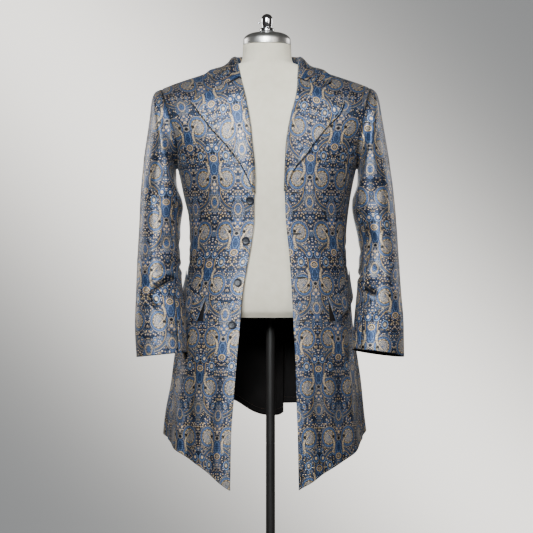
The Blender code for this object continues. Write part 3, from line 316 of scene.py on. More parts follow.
# Dress form: half width of the trunk and how far inside the coat its front and back lie.
TORSO = table(
    "z width front_inset back_inset",
    (0.930, 0.150, 0.044, 0.050), (0.945, 0.160, 0.030, 0.034), (0.970, 0.166, 0.022, 0.024),
    (1.010, 0.166, 0.014, 0.016), (1.060, 0.161, 0.011, 0.012), (1.110, 0.160, 0.011, 0.012),
    (1.160, 0.164, 0.011, 0.012), (1.220, 0.171, 0.011, 0.012), (1.280, 0.178, 0.010, 0.010),
    (1.340, 0.184, 0.009, 0.009), (1.400, 0.189, 0.0075, 0.0075), (1.440, 0.192, 0.006, 0.006),
    (1.530, 0.192, 0.006, 0.006))
TORSO_POINTS = 112
TORSO_ROWS = (0.930, 0.936, 0.945, 0.970, 1.010, 1.070, 1.130, 1.190, 1.250, 1.305, 1.350, 1.385,
              1.412, 1.432, 1.448, 1.459, 1.468, 1.476, 1.484, 1.4905, 1.4955, 1.4985)
NECK_ROWS = table(
    "z half_width half_depth",
    (1.5000, 0.0740, 0.0565), (1.5030, 0.0680, 0.0562), (1.5080, 0.0630, 0.0557),
    (1.5150, 0.0592, 0.0552), (1.5260, 0.0565, 0.0548), (1.5535, 0.0550, 0.0540))
NECK_BACK = 0.92  # the neck is a little flatter behind
NECK_START = 1.512  # where its own rings begin
FORM_WRAP = 0.15  # radius that the linen is wrapped round the form at
POLE_JOIN = 0.6402  # top of the line between the pole's two lengths

# Fittings turned on a lathe, from the top down.
BALL = 0.0133  # the finial's domed top
FINIAL_FOOT = table(
    "radius height",
    (0.0133, 0.0205), (0.0117, 0.0120), (0.0117, 0.0102), (0.0156, 0.0092), (0.0168, 0.0068),
    (0.0168, 0.0030), (0.0143, 0.0), (0.0, 0.0))
SCREW_Z = 0.022  # height of the set screw on the finial
SET_SCREW = table(
    "radius height",
    (0.0, 0.0075), (0.0017, 0.0072), (0.0022, 0.0060), (0.0022, 0.0030), (0.0013, 0.0026),
    (0.0013, 0.0), (0.0, 0.0))
BASE = table(
    "radius height",
    (0.0, BASE_HEIGHT), (0.017, BASE_HEIGHT), (0.019, 0.028), (0.021, 0.014), (0.030, 0.011),
    (0.153, 0.0085), (0.162, 0.0070), (0.165, 0.0045), (0.1645, 0.0), (0.0, 0.0))


# ---- smooth reading of the tables ----

def curve(t, a, b, start, end):
    """Smooth run from a to b, with its slopes at both ends."""
    return ((2 * t ** 3 - 3 * t ** 2 + 1) * a + (t ** 3 - 2 * t ** 2 + t) * start
            + (3 * t ** 2 - 2 * t ** 3) * b + (t ** 3 - t ** 2) * end)


def slope(keys, values, i):
    """Slope at one row that never overshoots its neighbours."""
    def secant(j):
        return (values[j + 1] - values[j]) / (keys[j + 1] - keys[j])
    if i == 0:
        return secant(0)
    if i == len(keys) - 1:
        return secant(i - 1)
    before, after = secant(i - 1), secant(i)
    if before * after <= 0:
        return 0.0
    return 2 * before * after / (before + after)


def read(chart, column, at):
    """Smooth value of a column, at a value of the chart's first column."""
    keys = next(iter(chart.values()))
    values = chart[column]
    if at <= keys[0]:
        return values[0]
    if at >= keys[-1]:
        return values[-1]
    i = bisect_right(keys, at) - 1
    step = keys[i + 1] - keys[i]
    t = (at - keys[i]) / step
    start = slope(keys, values, i) * step
    end = slope(keys, values, i + 1) * step
    return curve(t, values[i], values[i + 1], start, end)


def mix(a, b, share):
    return a + (b - a) * share


def ease(share):
    """0 to 1 with level ends."""
    share = min(max(share, 0.0), 1.0)
    return share * share * (3 - 2 * share)


def shares(count):
    """Even steps from 0 to 1, half as wide at both ends, where panels meet."""
    return [k / count - 0.5 * math.sin(2 * math.pi * k / count) / (2 * math.pi)
            for k in range(count + 1)]


# ---- the body surface ----

def half_width(side, z):
    return read(BODY, SIDE_NAME[side] + "_width", z)


def spread(angle, squareness=SQUARENESS):
    """Point of a unit rounded oval: its share of the half width and of the depth."""
    across, along = math.sin(angle), math.cos(angle)
    size = (abs(across) ** squareness + abs(along) ** squareness) ** (-1 / squareness)
    return across * size, along * size


def angle_at(share):
    """Angle from the centre front where the oval reaches a share of its half width."""
    power = min(share, 0.9999) ** SQUARENESS
    return math.atan((power / (1 - power)) ** (1 / SQUARENESS))


def shoulder_height(x):
    return read(SHOULDER, "z", abs(x))


def neckline_height(x):
    """Shoulder line, dipping to the back neck between the shoulder seams."""
    x = abs(x)
    if x >= NECK_X:
        return shoulder_height(x)
    return mix(BACK_NECK_Z, shoulder_height(NECK_X), (x / NECK_X) ** 2)


def shoulder_fall(crest, z):
    """Share of the full depth at a height below the rounded shoulder's crest."""
    below = (crest - z) / SHOULDER_ROUND
    below = min(max(below, 0.0), 1.0)
    return math.sqrt(1 - (1 - below) ** 2)


def vent_lap(x, z):
    """How far the left back stands out over the vent's underlap."""
    down = 1 - ease((z - WAIST) / (2 * LAP_FADE))
    over = 1 - ease((x - UNDERLAP - 0.020) / LAP_FADE)
    return LAP * down * over


def skirt_fold(side, angle, z):
    """Soft upright folds that grow from the waist to the hem."""
    grown = ease((WAIST - z) / (WAIST - 0.66))
    return grown * read(FOLDS, SIDE_NAME[side], math.degrees(angle))


def body_point(side, angle, z):
    """Outside of the coat at an angle from the centre front, and a height."""
    across, along = spread(angle)
    width = half_width(side, z)
    x = width * across
    depth = read(BODY, "front_depth" if along > 0 else "back_depth", z)
    y = -depth * along * shoulder_fall(shoulder_height(x), z)
    fold = skirt_fold(side, angle, z)
    x += fold * math.sin(angle)
    y -= fold * math.cos(angle)
    if side == LEFT and along < 0:
        y += vent_lap(x, z)
    return Vector((side * x, y, z))


def body_normal(side, angle, z):
    """Outward direction of the body surface; straight off the ridge on the shoulder line."""
    point = body_point(side, angle, z)
    step = 0.002
    below = shoulder_height(point.x) - z
    if below < 0.0012:
        pitch = shoulder_height(abs(point.x) + step) - shoulder_height(abs(point.x) - step)
        return Vector((-side * pitch, 0, 2 * step)).normalized()
    turn, rise = 0.01, min(0.0015, below * 0.4)
    round_it = body_point(side, angle + turn, z) - body_point(side, angle - turn, z)
    up_it = body_point(side, angle, z + rise) - body_point(side, angle, z - rise)
    normal = round_it.cross(up_it) * side
    return normal.normalized()


def body_cloth(side, angle, z, toward=0.0):
    """A panel's point and its outward direction."""
    point = body_point(side, angle, z)
    point.y += toward
    return point, body_normal(side, angle, z)


def front_angle(side, x, z):
    return angle_at(x / half_width(side, z))


def lifted(side, angle, z, height):
    return body_point(side, angle, z) + body_normal(side, angle, z) * height


def edge_x(side, z):
    return read(FRONT_EDGE, SIDE_NAME[side], z)


def hem_height(side, angle):
    return read(HEM, SIDE_NAME[side], math.degrees(angle))


# ---- armholes ----

def arm_x(side, z):
    return read(ARMHOLE, SIDE_NAME[side], z)


def arm_top(side):
    return shoulder_height(ARMHOLE[SIDE_NAME[side]][-1])


def arm_height(side, degrees):
    """Height of the armhole at an angle round it, from 0 at the shoulder to 180 under the arm."""
    middle = (arm_top(side) + UNDERARM) / 2
    return middle + (arm_top(side) - middle) * math.cos(math.radians(degrees))


def chest_z(side):
    """Height where the side body's own top edge begins."""
    return arm_height(side, UNDER_ANGLE)


def side_angle(side):
    """Body angle of the front armhole at that height."""
    z = chest_z(side)
    return front_angle(side, arm_x(side, z), z)


def armhole_place(side, degrees, inside=0.0):
    """Body angle and height of the armhole seam, or of the panel a small way inside it."""
    turned = degrees if degrees <= 180 else 360 - degrees
    z = arm_height(side, turned)
    if turned <= UNDER_ANGLE:
        low, top_x = chest_z(side), ARMHOLE[SIDE_NAME[side]][-1]
        rise = (z - low) / (arm_top(side) - low)
        x = arm_x(side, z) - inside
        z = low + rise * (shoulder_height(top_x - inside) - low)
        angle = front_angle(side, x, z)
    else:
        start = side_angle(side)
        angle = mix(start, math.pi - start, (turned - UNDER_ANGLE) / (360 - 2 * UNDER_ANGLE))
        z -= inside
    if degrees > 180:
        angle = math.pi - angle
    return angle, z


def armhole(side, degrees, inside=0.0):
    return body_point(side, *armhole_place(side, degrees, inside))


# ---- cloth detail ----
SEAM_ROLL = 0.0042  # how near a seam the cloth starts to sink into it
SEAM_SINK = 0.0017  # and how deep it sinks there
SEAM_SHADE = 0.72  # how dark the shade painted into a seam is
EDGE_SHADE = 0.22  # and the shade painted at the outer edges of the lapels and collar
FOLD_SHADE = 0.7  # how dark the shade painted into a fold is that is as deep as its half width
FOLD_SEEN = 0.35  # how squarely a fold's view sees the cloth where it has its full depth
LIP, LIP_AT = 0.35, 1.9  # the lips beside a trough: share of its depth, and place in half widths
RIM_ROUND = 0.3  # how far a cut edge bulges, as a share of the wall
HEAD_SHADE = 0.012  # how far down a sleeve the shade painted below its head reaches
HEAD_ROW = 3  # the sleeve's row where its head begins
LEVEL_ROW = 10.1  # and the one where the pattern's height is measured
SLEEVE_STRETCH = 1.07  # how much closer the pattern lies along a sleeve
SLEEVE_SEAM = 0.10417  # degrees that a sleeve's edges keep back from its seams
SLEEVE_FACTOR = 5  # how much finer the sleeves' rows are than their sections
HEAD_AXIS_IN = 0.018  # how far inside the shoulder point the axis of a sleeve's head ends
LAPEL_LIFT = 0.0030  # how far the outer edges stand off what they lie on
COLLAR_LIFT = 0.0028
FLAP_LIFT = 0.0026
LOW_AT = 0.134  # below this much under a level of the pattern it closes up
LOW_STRETCH = 0.09  # by this share
HALF_TURN = 55.0  # millimetres between two upright axes of the pattern
LEVEL = 239.0  # and between two levels of the same motif
BODY_LEVEL = 0.0263  # how far the waist lies above a level
RIB_PITCH = 0.0011  # of the brocade's weave
THREAD_PITCH = 0.0012  # of the linen's
SIDE_COLUMNS = 12

# Grain of the sleeves: the angle round the sleeve where a pattern axis runs.
GRAIN = {
    RIGHT: table("row angle", (0, 97), (4, 100), (8, 116), (12, 119)),
    LEFT: table("row angle", (0, 92), (4, 93), (8, 105), (12, 111)),
}

# Where a piece lies on the pattern: across from an upright axis and up from a level.
PATTERN_AT = {
    "front_right": (-0.0908, BODY_LEVEL), "front_left": (-0.0555, BODY_LEVEL),
    "side_right": (0.0, BODY_LEVEL), "side_left": (0.0, BODY_LEVEL),
    "back_right": (0.0, BODY_LEVEL), "back_left": (0.0, BODY_LEVEL),
    "top_sleeve_right": (0.0, 0.055), "top_sleeve_left": (0.0, 0.118),
    "under_sleeve_right": (0.0, 0.055), "under_sleeve_left": (0.0, 0.118),
    "lapel_right": (-0.033, 0.09), "lapel_left": (0.0, 0.09),
    "pocket_flap_right": (0.01, -0.03), "pocket_flap_left": (0.01, -0.03),
}

# Folds, listed in millimetres. Each runs between two places seen square on from the front,
# back, left or right: across (x or y) and height of both ends, half width and depth, with ridges
# below zero.
MILLIMETRE = 0.001
FOLD_TROUGHS = {
    "top_sleeve_right": {
        "front": [(-196, 1031, -270, 989, 5.5, 7.5), (-198, 1013, -262, 974, 8.5, -3.2),
            (-276, 982, -236, 949, 5, 4.4), (-224, 911, -194, 888, 4.2, 3.4),
            (-214, 1118, -256, 1068, 10.5, 3), (-268, 1232, -228, 1150, 12, 3),
            (-229, 1318, -244, 1216, 7, 2.2)],
        "back": [(-205, 1096, -272, 1061, 7, 5.2), (-214, 1048, -262, 1036, 5.5, 4),
            (-266, 1168, -222, 1121, 10, 3), (-228, 1300, -250, 1205, 8, 2.4)],
        "right": [(-46, 1078, 30, 1046, 8, 4.2), (36, 1010, -30, 984, 6, 3.2),
            (-10, 1290, 4, 1150, 12, 2.6)]},
    "top_sleeve_left": {
        "front": [(202, 1004, 250, 981, 5.2, 6.6), (205, 990, 246, 968, 7.5, -2.8),
            (228, 1052, 262, 1020, 8, 2.8), (262, 948, 222, 926, 6, 3),
            (212, 1150, 248, 1080, 11, 3.4), (262, 1262, 230, 1176, 12, 2.8),
            (226, 1318, 238, 1232, 7, 2.2)],
        "back": [(208, 1070, 274, 1047, 7, 5), (264, 1022, 216, 1003, 5.5, 3.8),
            (222, 1150, 266, 1112, 10.5, 2.8), (232, 1292, 256, 1198, 8, 2.6)],
        "left": [(-40, 1064, 34, 1032, 8, 4), (30, 990, -34, 968, 6, 3),
            (-6, 1280, 8, 1140, 12, 2.6)]},
    "under_sleeve_right": {
        "left": [(-60, 1050, 20, 1026, 6.5, 4.8), (-52, 1008, 6, 992, 5.5, 3.4),
            (18, 1110, -40, 1086, 9, 2.8)]},
    "under_sleeve_left": {
        "right": [(-60, 1030, 18, 1008, 6.5, 4.6), (-50, 986, 8, 972, 5.5, 3.2),
            (20, 1096, -36, 1070, 9, 2.8)]},
    "front_right": {
        "front": [(-118, 862, -132, 520, 17, 4.2), (-166, 884, -186, 560, 15, 3.6),
            (-82, 780, -92, 420, 14, 2.4), (-152, 1150, -104, 1118, 10, 1.8),
            (-146, 1082, -98, 1066, 7, 1.6), (-176, 1226, -128, 1178, 12, 1.8)]},
    "front_left": {
        "front": [(112, 858, 130, 500, 18, 4), (160, 880, 178, 590, 14, 3.8),
            (78, 740, 86, 430, 13, 2.4), (150, 1166, 108, 1128, 10, 1.8),
            (148, 1094, 102, 1070, 7.5, 1.8), (172, 1238, 132, 1196, 11.5, 1.6)]},
    "side_right": {
        "right": [(-34, 900, -50, 520, 15, 4.8), (22, 930, 30, 560, 13, 4.2),
            (-36, 1106, 20, 1090, 6.5, 1.8), (26, 1062, -26, 1050, 6, 1.6)]},
    "side_left": {
        "left": [(-30, 910, -44, 500, 14.5, 5), (26, 920, 36, 580, 13, 4),
            (-30, 1098, 24, 1080, 6.5, 1.8), (22, 1052, -28, 1044, 6, 1.4)]},
    "back_right": {
        "back": [(-72, 930, -86, 480, 16, -4.6), (-128, 920, -154, 540, 14, -3.6),
            (-26, 1084, -106, 1064, 7, -2), (-36, 1040, -98, 1046, 6, -1.8),
            (-160, 1262, -96, 1196, 11, 1.8), (-150, 1186, -104, 1150, 10, 1.6)]},
    "back_left": {
        "back": [(62, 940, 78, 500, 15.5, -4), (120, 910, 146, 520, 15, -4.4),
            (24, 1078, 110, 1070, 6.5, -2), (40, 1050, 92, 1034, 6, -1.6),
            (156, 1250, 100, 1180, 11.5, 1.8), (148, 1170, 108, 1140, 9, 1.6)]},
}

BUTTONHOLES = table("z start length", (0.9252, 0.010, 0.023), (1.0197, 0.009, 0.024),
                    (1.1178, 0.009, 0.023), (1.2096, 0.010, 0.022))
HOLE_HALF = 0.0015  # half the height of a buttonhole's corded edge
CORD_RADIUS = 0.00055
CORD_LIFT = 0.0003  # how far the cord's middle lies above the cloth
SLIT_HALF = 0.0011  # half the height of the dark sheet inside it, painted shade for the cut slit
SLIT_LIFT = 0.00012
STITCH_INSET = 0.0036  # how far inside an edge its stitches run
STITCH_STOP = 0.004  # how far under the lapel the front edge's stitches end
LINING_INSET = 0.012  # how far above the lining's hem its stitches run
THREAD_RADIUS = 0.00034
EDGE_STITCH = (0.0046, 0.0030)  # distance from stitch to stitch, and a stitch's length
LINING_STITCH = (0.0030, 0.0026)


# ---- node maths ----

class Signal:
    """A shader value that can be added, scaled and compared like a number."""

    def __init__(self, tree, socket):
        self.tree, self.socket = tree, socket

    def math(self, operation, *others):
        node = self.tree.nodes.new("ShaderNodeMath")
        node.operation = operation
        for socket, value in zip(node.inputs, (self, *others)):
            plug(self.tree, value, socket)
        return Signal(self.tree, node.outputs[0])

    def __add__(self, other):
        return self.math("ADD", other)

    def __sub__(self, other):
        return self.math("SUBTRACT", other)

    def __mul__(self, other):
        return self.math("MULTIPLY", other)

    def __truediv__(self, other):
        return self.math("DIVIDE", other)

    def size(self):
        return self.math("ABSOLUTE")

    def below(self, edge, soft):
        """1 under an edge value and 0 over it, with a soft step."""
        node = self.tree.nodes.new("ShaderNodeMapRange")
        node.interpolation_type = "SMOOTHSTEP"
        plug(self.tree, self, node.inputs["Value"])
        node.inputs["From Min"].default_value = edge - soft
        node.inputs["From Max"].default_value = edge + soft
        node.inputs["To Min"].default_value = 1.0
        node.inputs["To Max"].default_value = 0.0
        return Signal(self.tree, node.outputs[0])

    def near(self, value, half, soft):
        """1 within half a band of a value."""
        return (self - value).size().below(half, soft)

    def wrapped(self, period):
        """Distance to the nearest whole number of periods."""
        return (self + period / 2).math("FLOORED_MODULO", period) - period / 2


def plug(tree, value, socket):
    """Links a signal or a node's output, or sets a number or a colour."""
    if isinstance(value, Signal):
        value = value.socket
    if isinstance(value, bpy.types.NodeSocket):
        tree.links.new(value, socket)
    else:
        socket.default_value = (*value, 1) if isinstance(value, tuple) else value


def flat_place(x, y):
    """A place from two signals."""
    node = x.tree.nodes.new("ShaderNodeCombineXYZ")
    plug(x.tree, x, node.inputs[0])
    plug(x.tree, y, node.inputs[1])
    return node.outputs[0]


def split_place(tree, place):
    """The three parts of a place, as signals."""
    node = tree.nodes.new("ShaderNodeSeparateXYZ")
    tree.links.new(place, node.inputs[0])
    return [Signal(tree, part) for part in node.outputs]


def cut_place(tree):
    """Place on a piece's flat cut, in metres."""
    node = tree.nodes.new("ShaderNodeUVMap")
    node.uv_map = "cut"
    return node.outputs[0]


def object_place(tree):
    return tree.nodes.new("ShaderNodeTexCoord").outputs["Object"]


def far(x, y, width=1.0, height=1.0):
    """Distance from the middle of an oval, where 1 is its edge."""
    node = x.tree.nodes.new("ShaderNodeVectorMath")
    node.operation = "LENGTH"
    x.tree.links.new(flat_place(x * (1 / width), y * (1 / height)), node.inputs[0])
    return Signal(x.tree, node.outputs["Value"])


def paint(tree, under, mask, colour):
    """Lays a colour over what is under it, where the mask is 1."""
    node = tree.nodes.new("ShaderNodeMix")
    node.data_type = "RGBA"
    plug(tree, mask, node.inputs["Factor"])
    plug(tree, under, node.inputs[6])
    plug(tree, colour, node.inputs[7])
    return node.outputs[2]


def shade(*display):
    """Linear colour from display values of 0 to 255."""
    return tuple((value / 255) ** 2.2 for value in display)


def cells(x, y, scale, random):
    """Cells scattered over a place: distance from their middles, and a colour for each."""
    node = x.tree.nodes.new("ShaderNodeTexVoronoi")
    node.voronoi_dimensions = "2D"
    node.inputs["Scale"].default_value = scale
    node.inputs["Randomness"].default_value = random
    x.tree.links.new(flat_place(x, y), node.inputs["Vector"])
    return node


def noise(tree, place, scale, detail=2.0):
    node = tree.nodes.new("ShaderNodeTexNoise")
    node.inputs["Scale"].default_value = scale
    node.inputs["Detail"].default_value = detail
    tree.links.new(place, node.inputs["Vector"])
    return Signal(tree, node.outputs["Fac"])


INK = shade(6, 7, 10)
NAVY = shade(16, 20, 34)
BLUE = shade(70, 98, 146)
PALE = shade(112, 140, 182)
SLATE = shade(82, 94, 112)
TAUPE = shade(150, 141, 132)
PEARL = shade(160, 151, 142)
GOLD = shade(228, 194, 138)
IVORY = shade(255, 230, 184)


class Drawing:
    """Colours laid over one another in a shader tree."""

    def __init__(self, tree, ground):
        self.tree, self.colour = tree, ground

    def lay(self, colour, mask):
        """Adds a colour where the mask is 1."""
        self.colour = paint(self.tree, self.colour, mask, colour)

    def rings(self, run, *rows):
        """Adds bands (colour, middle, half width, softness) and spots (colour, edge, softness)."""
        for colour, *sizes in rows:
            self.lay(colour, run.near(*sizes) if len(sizes) == 3 else run.below(*sizes))


def draw_ground(drawing, x, y):
    """Small seeds and curls on a navy field, with slate leaflets between them.

    Gives the fine grain of the ground and each seed's luck.
    """
    seeds = cells(x, y, 0.165, 0.85)
    seed = Signal(x.tree, seeds.outputs["Distance"])
    tint = x.tree.nodes.new("ShaderNodeSeparateColor")
    x.tree.links.new(seeds.outputs["Color"], tint.inputs[0])
    luck, other = Signal(x.tree, tint.outputs[0]), Signal(x.tree, tint.outputs[1])
    fine = Signal(x.tree, cells(x, y, 0.42, 0.95).outputs["Distance"])
    patch = Signal(x.tree, cells(x, y, 0.045, 0.9).outputs["Distance"])
    drawing.rings(patch, (NAVY, 0.48, 0.12), (SLATE, 0.30, 0.14))
    drawing.lay(BLUE, fine.below(0.30, 0.16) * 0.5)
    drawing.lay(BLUE, seed.below(0.50, 0.08) * luck.below(0.34, 0.02))
    drawing.lay(INK, seed.near(0.40, 0.07, 0.05) * luck.below(0.7, 0.02))
    drawing.lay(GOLD, seed.near(0.27, 0.05, 0.04) * (other * -1).below(-0.66, 0.02))
    drawing.lay(GOLD, seed.below(0.21, 0.06) * other.below(0.42, 0.02))
    drawing.lay(IVORY, seed.below(0.11, 0.05) * luck.below(0.5, 0.02))
    return fine, luck


def draw_medallion(drawing, x, y, fine):
    """Long banded outline round an upside-down axis, with three eyes inside it."""
    capsule = far(x, ((y - 12).size() - 38).math("MAXIMUM", 0.0))
    drawing.rings(capsule, (INK, 45.0, 5.4, 0.8), (TAUPE, 48.6, 0.9, 0.5),
                  (SLATE, 46.2, 0.6, 0.4), (BLUE, 43.8, 0.6, 0.4))
    drawing.lay(GOLD, capsule.near(41.0, 0.7, 0.4) * (fine * 1.6))
    for aside, height, size in ((25, 52, 1.0), (14, 84, 0.7), (16, -44, 0.6)):
        eye = far(x - aside, y - height, 8 * size, 11 * size)
        drawing.rings(eye, (NAVY, 1.05, 0.08), (PALE, 0.84, 0.12, 0.06), (TAUPE, 0.5, 0.08),
                      (GOLD, 0.26, 0.12))


def draw_leaf(drawing, x, y, fine, luck):
    """Pointed leaf below the vase, with blossoms on it."""
    pointed = (x.size() / 19 + (y + 46).size() / 37).below(1.0, 0.05)
    inside = far(x, y + 44, 15.5, 33).below(1.0, 0.06) * pointed
    drawing.lay(SLATE, inside * 0.8)
    drawing.lay(TAUPE, inside * fine.below(0.30, 0.1) * luck)
    drawing.lay(BLUE, inside * fine.below(0.40, 0.1) * luck.below(0.4, 0.1))
    drawing.lay(GOLD, inside * far(x, y + 52, 8, 12).near(1.0, 0.1, 0.08) * 0.7)
    drawing.lay(BLUE, far(x, y + 52, 4.5, 7).below(1.0, 0.3) * 0.8)
    for aside, height, size in ((0, -12, 3.4), (6, -20, 2.6), (0, -27, 2.4)):
        bloom = far(x - aside, y - height)
        drawing.rings(bloom, (BLUE, size + 1.4, 0.6), (GOLD, size, 0.6))


def draw_snail(drawing, x, y):
    """Rings round a beaded head."""
    turn = x.math("ARCTAN2", y)
    oval = far(x, y, 1.0, 1.22)
    beads = (turn * 11).math("SINE") * 0.5 + 0.5
    grain = (far(x, y) * 1.75).math("SINE") * (turn * 8).math("SINE")
    drawing.rings(oval, (INK, 21.8, 0.6), (TAUPE, 20.9, 0.65, 0.4), (BLUE, 18.4, 1.0, 0.5),
                  (PALE, 16.2, 0.5, 0.4), (INK, 14.9, 0.5))
    drawing.lay(GOLD, oval.near(13.4, 0.9, 0.4) * (beads * 0.8 + 0.2))
    drawing.lay(PEARL, oval.below(12.0, 0.5))
    drawing.lay(SLATE, oval.below(11.2, 0.8) * grain.below(-0.1, 0.3))
    drawing.lay(GOLD, oval.near(6.4, 0.5, 0.4) * beads * 0.6)
    drawing.lay(BLUE, oval.below(1.6, 0.8))


def draw_tail(drawing, x, y):
    """The snail's tail hooks over a dark dot and climbs beside the vase."""
    sway = (y - 20) * (y - 20) * 0.018
    tail = (x - 13.2 - sway).size()
    grown = (y - 14).size().below(22, 2.5)
    scales = ((y * 1.5).math("SINE") * 0.5 + 0.5) * tail.below(1.7, 0.4)
    drawing.lay(NAVY, tail.below(4.0, 0.5) * grown)
    drawing.lay(TAUPE, tail.below(3.0, 0.5) * grown)
    drawing.lay(GOLD, scales * grown)
    drawing.lay(INK, far(x - 17.0, y + 1.0).below(3.4, 0.6))


def draw_vase(drawing, x, y):
    """Vase with a diamond weave, its foot and the dome over it."""
    vase = far(x, y - 24, 10.5, 20)
    foot = far(x, y - 3, 7, 6)
    dome = far(x, y - 46, 1.0, 0.9)
    diamonds = ((x + y) * 1.15).math("SINE") * ((x - y) * 1.15).math("SINE")
    drawing.lay(BLUE, vase.below(1.0, 0.05))
    drawing.lay(NAVY, vase.below(0.94, 0.05) * diamonds.below(0.2, 0.2) * 0.9)
    drawing.lay(PALE, vase.near(0.62, 0.06, 0.05) * 0.6)
    drawing.rings(foot, (TAUPE, 1.0, 0.1), (NAVY, 0.6, 0.1))
    drawing.rings(dome, (BLUE, 11.0, 0.5), (NAVY, 9.2, 0.5), (GOLD, 7.4, 1.0, 0.4),
                  (TAUPE, 4.6, 0.8))


def draw_eye(drawing, x, y, shown):
    """Oval eye beside the dome."""
    eye = far(x - 10, y - 70, 7.5, 9.5)
    drawing.lay(NAVY, eye.below(1.2, 0.06) * shown)
    drawing.lay(PALE, eye.near(0.96, 0.1, 0.06) * shown)
    drawing.lay(BLUE, eye.below(0.66, 0.06) * shown)
    drawing.lay(GOLD, eye.below(0.40, 0.1) * shown)


def brocade_pattern():
    """Paisley repeat on a cut piece: snails on both sides of a vase, with leaves between.

    The place on the cut is in metres, across and up, and the drawing in millimetres. One axis
    carries the motif upright and the next one carries it upside down, half a level away.
    """
    tree = bpy.data.node_groups.new("brocade_pattern", "ShaderNodeTree")
    for label, way, kind in (("Place", "INPUT", "Vector"), ("Colour", "OUTPUT", "Color"),
                             ("Raised", "OUTPUT", "Float")):
        tree.interface.new_socket(label, in_out=way, socket_type="NodeSocket" + kind)
    start, end = tree.nodes.new("NodeGroupInput"), tree.nodes.new("NodeGroupOutput")
    across, up, _ = split_place(tree, start.outputs["Place"])
    across, up = across * 1000, up * 1000
    upright_x = across.wrapped(2 * HALF_TURN).size()
    level_y = up.wrapped(LEVEL)
    turned_x = (upright_x - HALF_TURN).size()
    turned_y = (up + LEVEL / 2).wrapped(LEVEL) * -1
    drawing = Drawing(tree, INK)
    fine, luck = draw_ground(drawing, upright_x, up)
    draw_medallion(drawing, turned_x, level_y, fine)

    # each place belongs to the nearer motif
    reach = ((level_y.size() * -1 + 60) / 64 + 0.5).math("MINIMUM", 1.0).math("MAXIMUM", 0.0)
    upright = (upright_x - reach * HALF_TURN).below(0, 0.4)
    x = turned_x + (upright_x - turned_x) * upright
    y = turned_y + (level_y - turned_y) * upright
    draw_leaf(drawing, x, y, fine, luck)
    draw_snail(drawing, x - 28, y)
    draw_tail(drawing, x, y)
    draw_vase(drawing, x, y)
    draw_eye(drawing, x, y, upright)

    # the figure is built of small woven stitches, so every part of it is broken up
    drawing.lay(INK, ((fine - 0.28) * 1.8).math("MINIMUM", 0.7))
    level = tree.nodes.new("ShaderNodeRGBToBW")
    tree.links.new(drawing.colour, level.inputs[0])
    tree.links.new(drawing.colour, end.inputs["Colour"])
    tree.links.new(level.outputs[0], end.inputs["Raised"])
    return tree


def plain_material(name, colour, roughness, metallic=0.0):
    made = bpy.data.materials.new(name)
    made.use_nodes = True
    shader = made.node_tree.nodes["Principled BSDF"]
    shader.inputs["Base Color"].default_value = (*colour, 1)
    shader.inputs["Roughness"].default_value = roughness
    shader.inputs["Metallic"].default_value = metallic
    return made, made.node_tree, shader


def cloud(tree, shader, low, share, high):
    """Base colour that varies between two shades."""
    plug(tree, paint(tree, low, share, high), shader.inputs["Base Color"])


def bump(tree, shader, height, distance):
    node = tree.nodes.new("ShaderNodeBump")
    node.inputs["Distance"].default_value = distance
    plug(tree, height, node.inputs["Height"])
    tree.links.new(node.outputs[0], shader.inputs["Normal"])


def ribs(along, pitch):
    """Fine waves along a place, one for each pitch."""
    return (along * (2 * math.pi / pitch)).math("SINE")


def make_brocade():
    made, tree, shader = plain_material("brocade", BLUE, 0.46, 0.28)
    place = cut_place(tree)
    group = tree.nodes.new("ShaderNodeGroup")
    group.node_tree = brocade_pattern()
    tree.links.new(place, group.inputs["Place"])
    raised = Signal(tree, group.outputs["Raised"])
    # Shade painted into seams, folds, sleeve heads and outer edges comes in as a point attribute; it
    # darkens the colour towards ink, and the same share makes the cloth rougher and more metallic.
    painted_shade = tree.nodes.new("ShaderNodeAttribute")
    painted_shade.attribute_name = "painted_shade"
    shade_share = Signal(tree, painted_shade.outputs["Fac"])
    wear = noise(tree, place, 14.0, 3.0)
    colour = paint(tree, group.outputs["Colour"], (wear - 0.45) * 0.5, SLATE)
    colour = paint(tree, colour, shade_share.math("MINIMUM", 0.92), INK)
    plug(tree, colour, shader.inputs["Base Color"])
    plug(tree, raised * -0.12 + shade_share * 0.3 + 0.43, shader.inputs["Roughness"])
    plug(tree, shade_share * 0.4 + 0.58, shader.inputs["Metallic"])
    bump(tree, shader, raised + ribs(split_place(tree, place)[1], RIB_PITCH) * 0.08, 0.0005)
    shader.inputs["Sheen Weight"].default_value = 0.06
    shader.inputs["Sheen Roughness"].default_value = 0.4
    return made


def make_satin():
    made, tree, shader = plain_material("black_satin", shade(9, 9, 10), 0.36)
    soft = noise(tree, cut_place(tree), 18.0)
    cloud(tree, shader, shade(18, 17, 18), soft, shade(32, 29, 28))
    plug(tree, soft * 0.2 + 0.32, shader.inputs["Roughness"])
    shader.inputs["Specular IOR Level"].default_value = 0.3
    bump(tree, shader, soft, 0.0012)
    return made


def make_linen():
    made, tree, shader = plain_material("cream_linen", shade(225, 217, 196), 0.85)
    across, up, _ = split_place(tree, cut_place(tree))
    slub = noise(tree, object_place(tree), 60.0, 3.0)
    cloud(tree, shader, shade(214, 205, 182), slub, shade(234, 227, 208))
    weave = ribs(across, THREAD_PITCH) * ribs(up, THREAD_PITCH)
    bump(tree, shader, weave * 0.5 + slub, 0.0004)
    plug(tree, slub * 0.1 + 0.8, shader.inputs["Roughness"])
    shader.inputs["Sheen Weight"].default_value = 0.1
    return made


def make_metal(name, colour, roughness, brush):
    """Polished metal, with fine rings round the turned pieces where it is brushed."""
    made, tree, shader = plain_material(name, colour, roughness, 1.0)
    place = object_place(tree)
    smudge = noise(tree, place, 90.0, 3.0)
    rings = (split_place(tree, place)[2] * 9000).math("SINE") * 0.5 + 0.5
    plug(tree, smudge * 0.14 + rings * (brush * 0.3) + (roughness - 0.07), shader.inputs["Roughness"])
    bump(tree, shader, smudge * 0.3 + rings * brush, 0.00006)
    return made


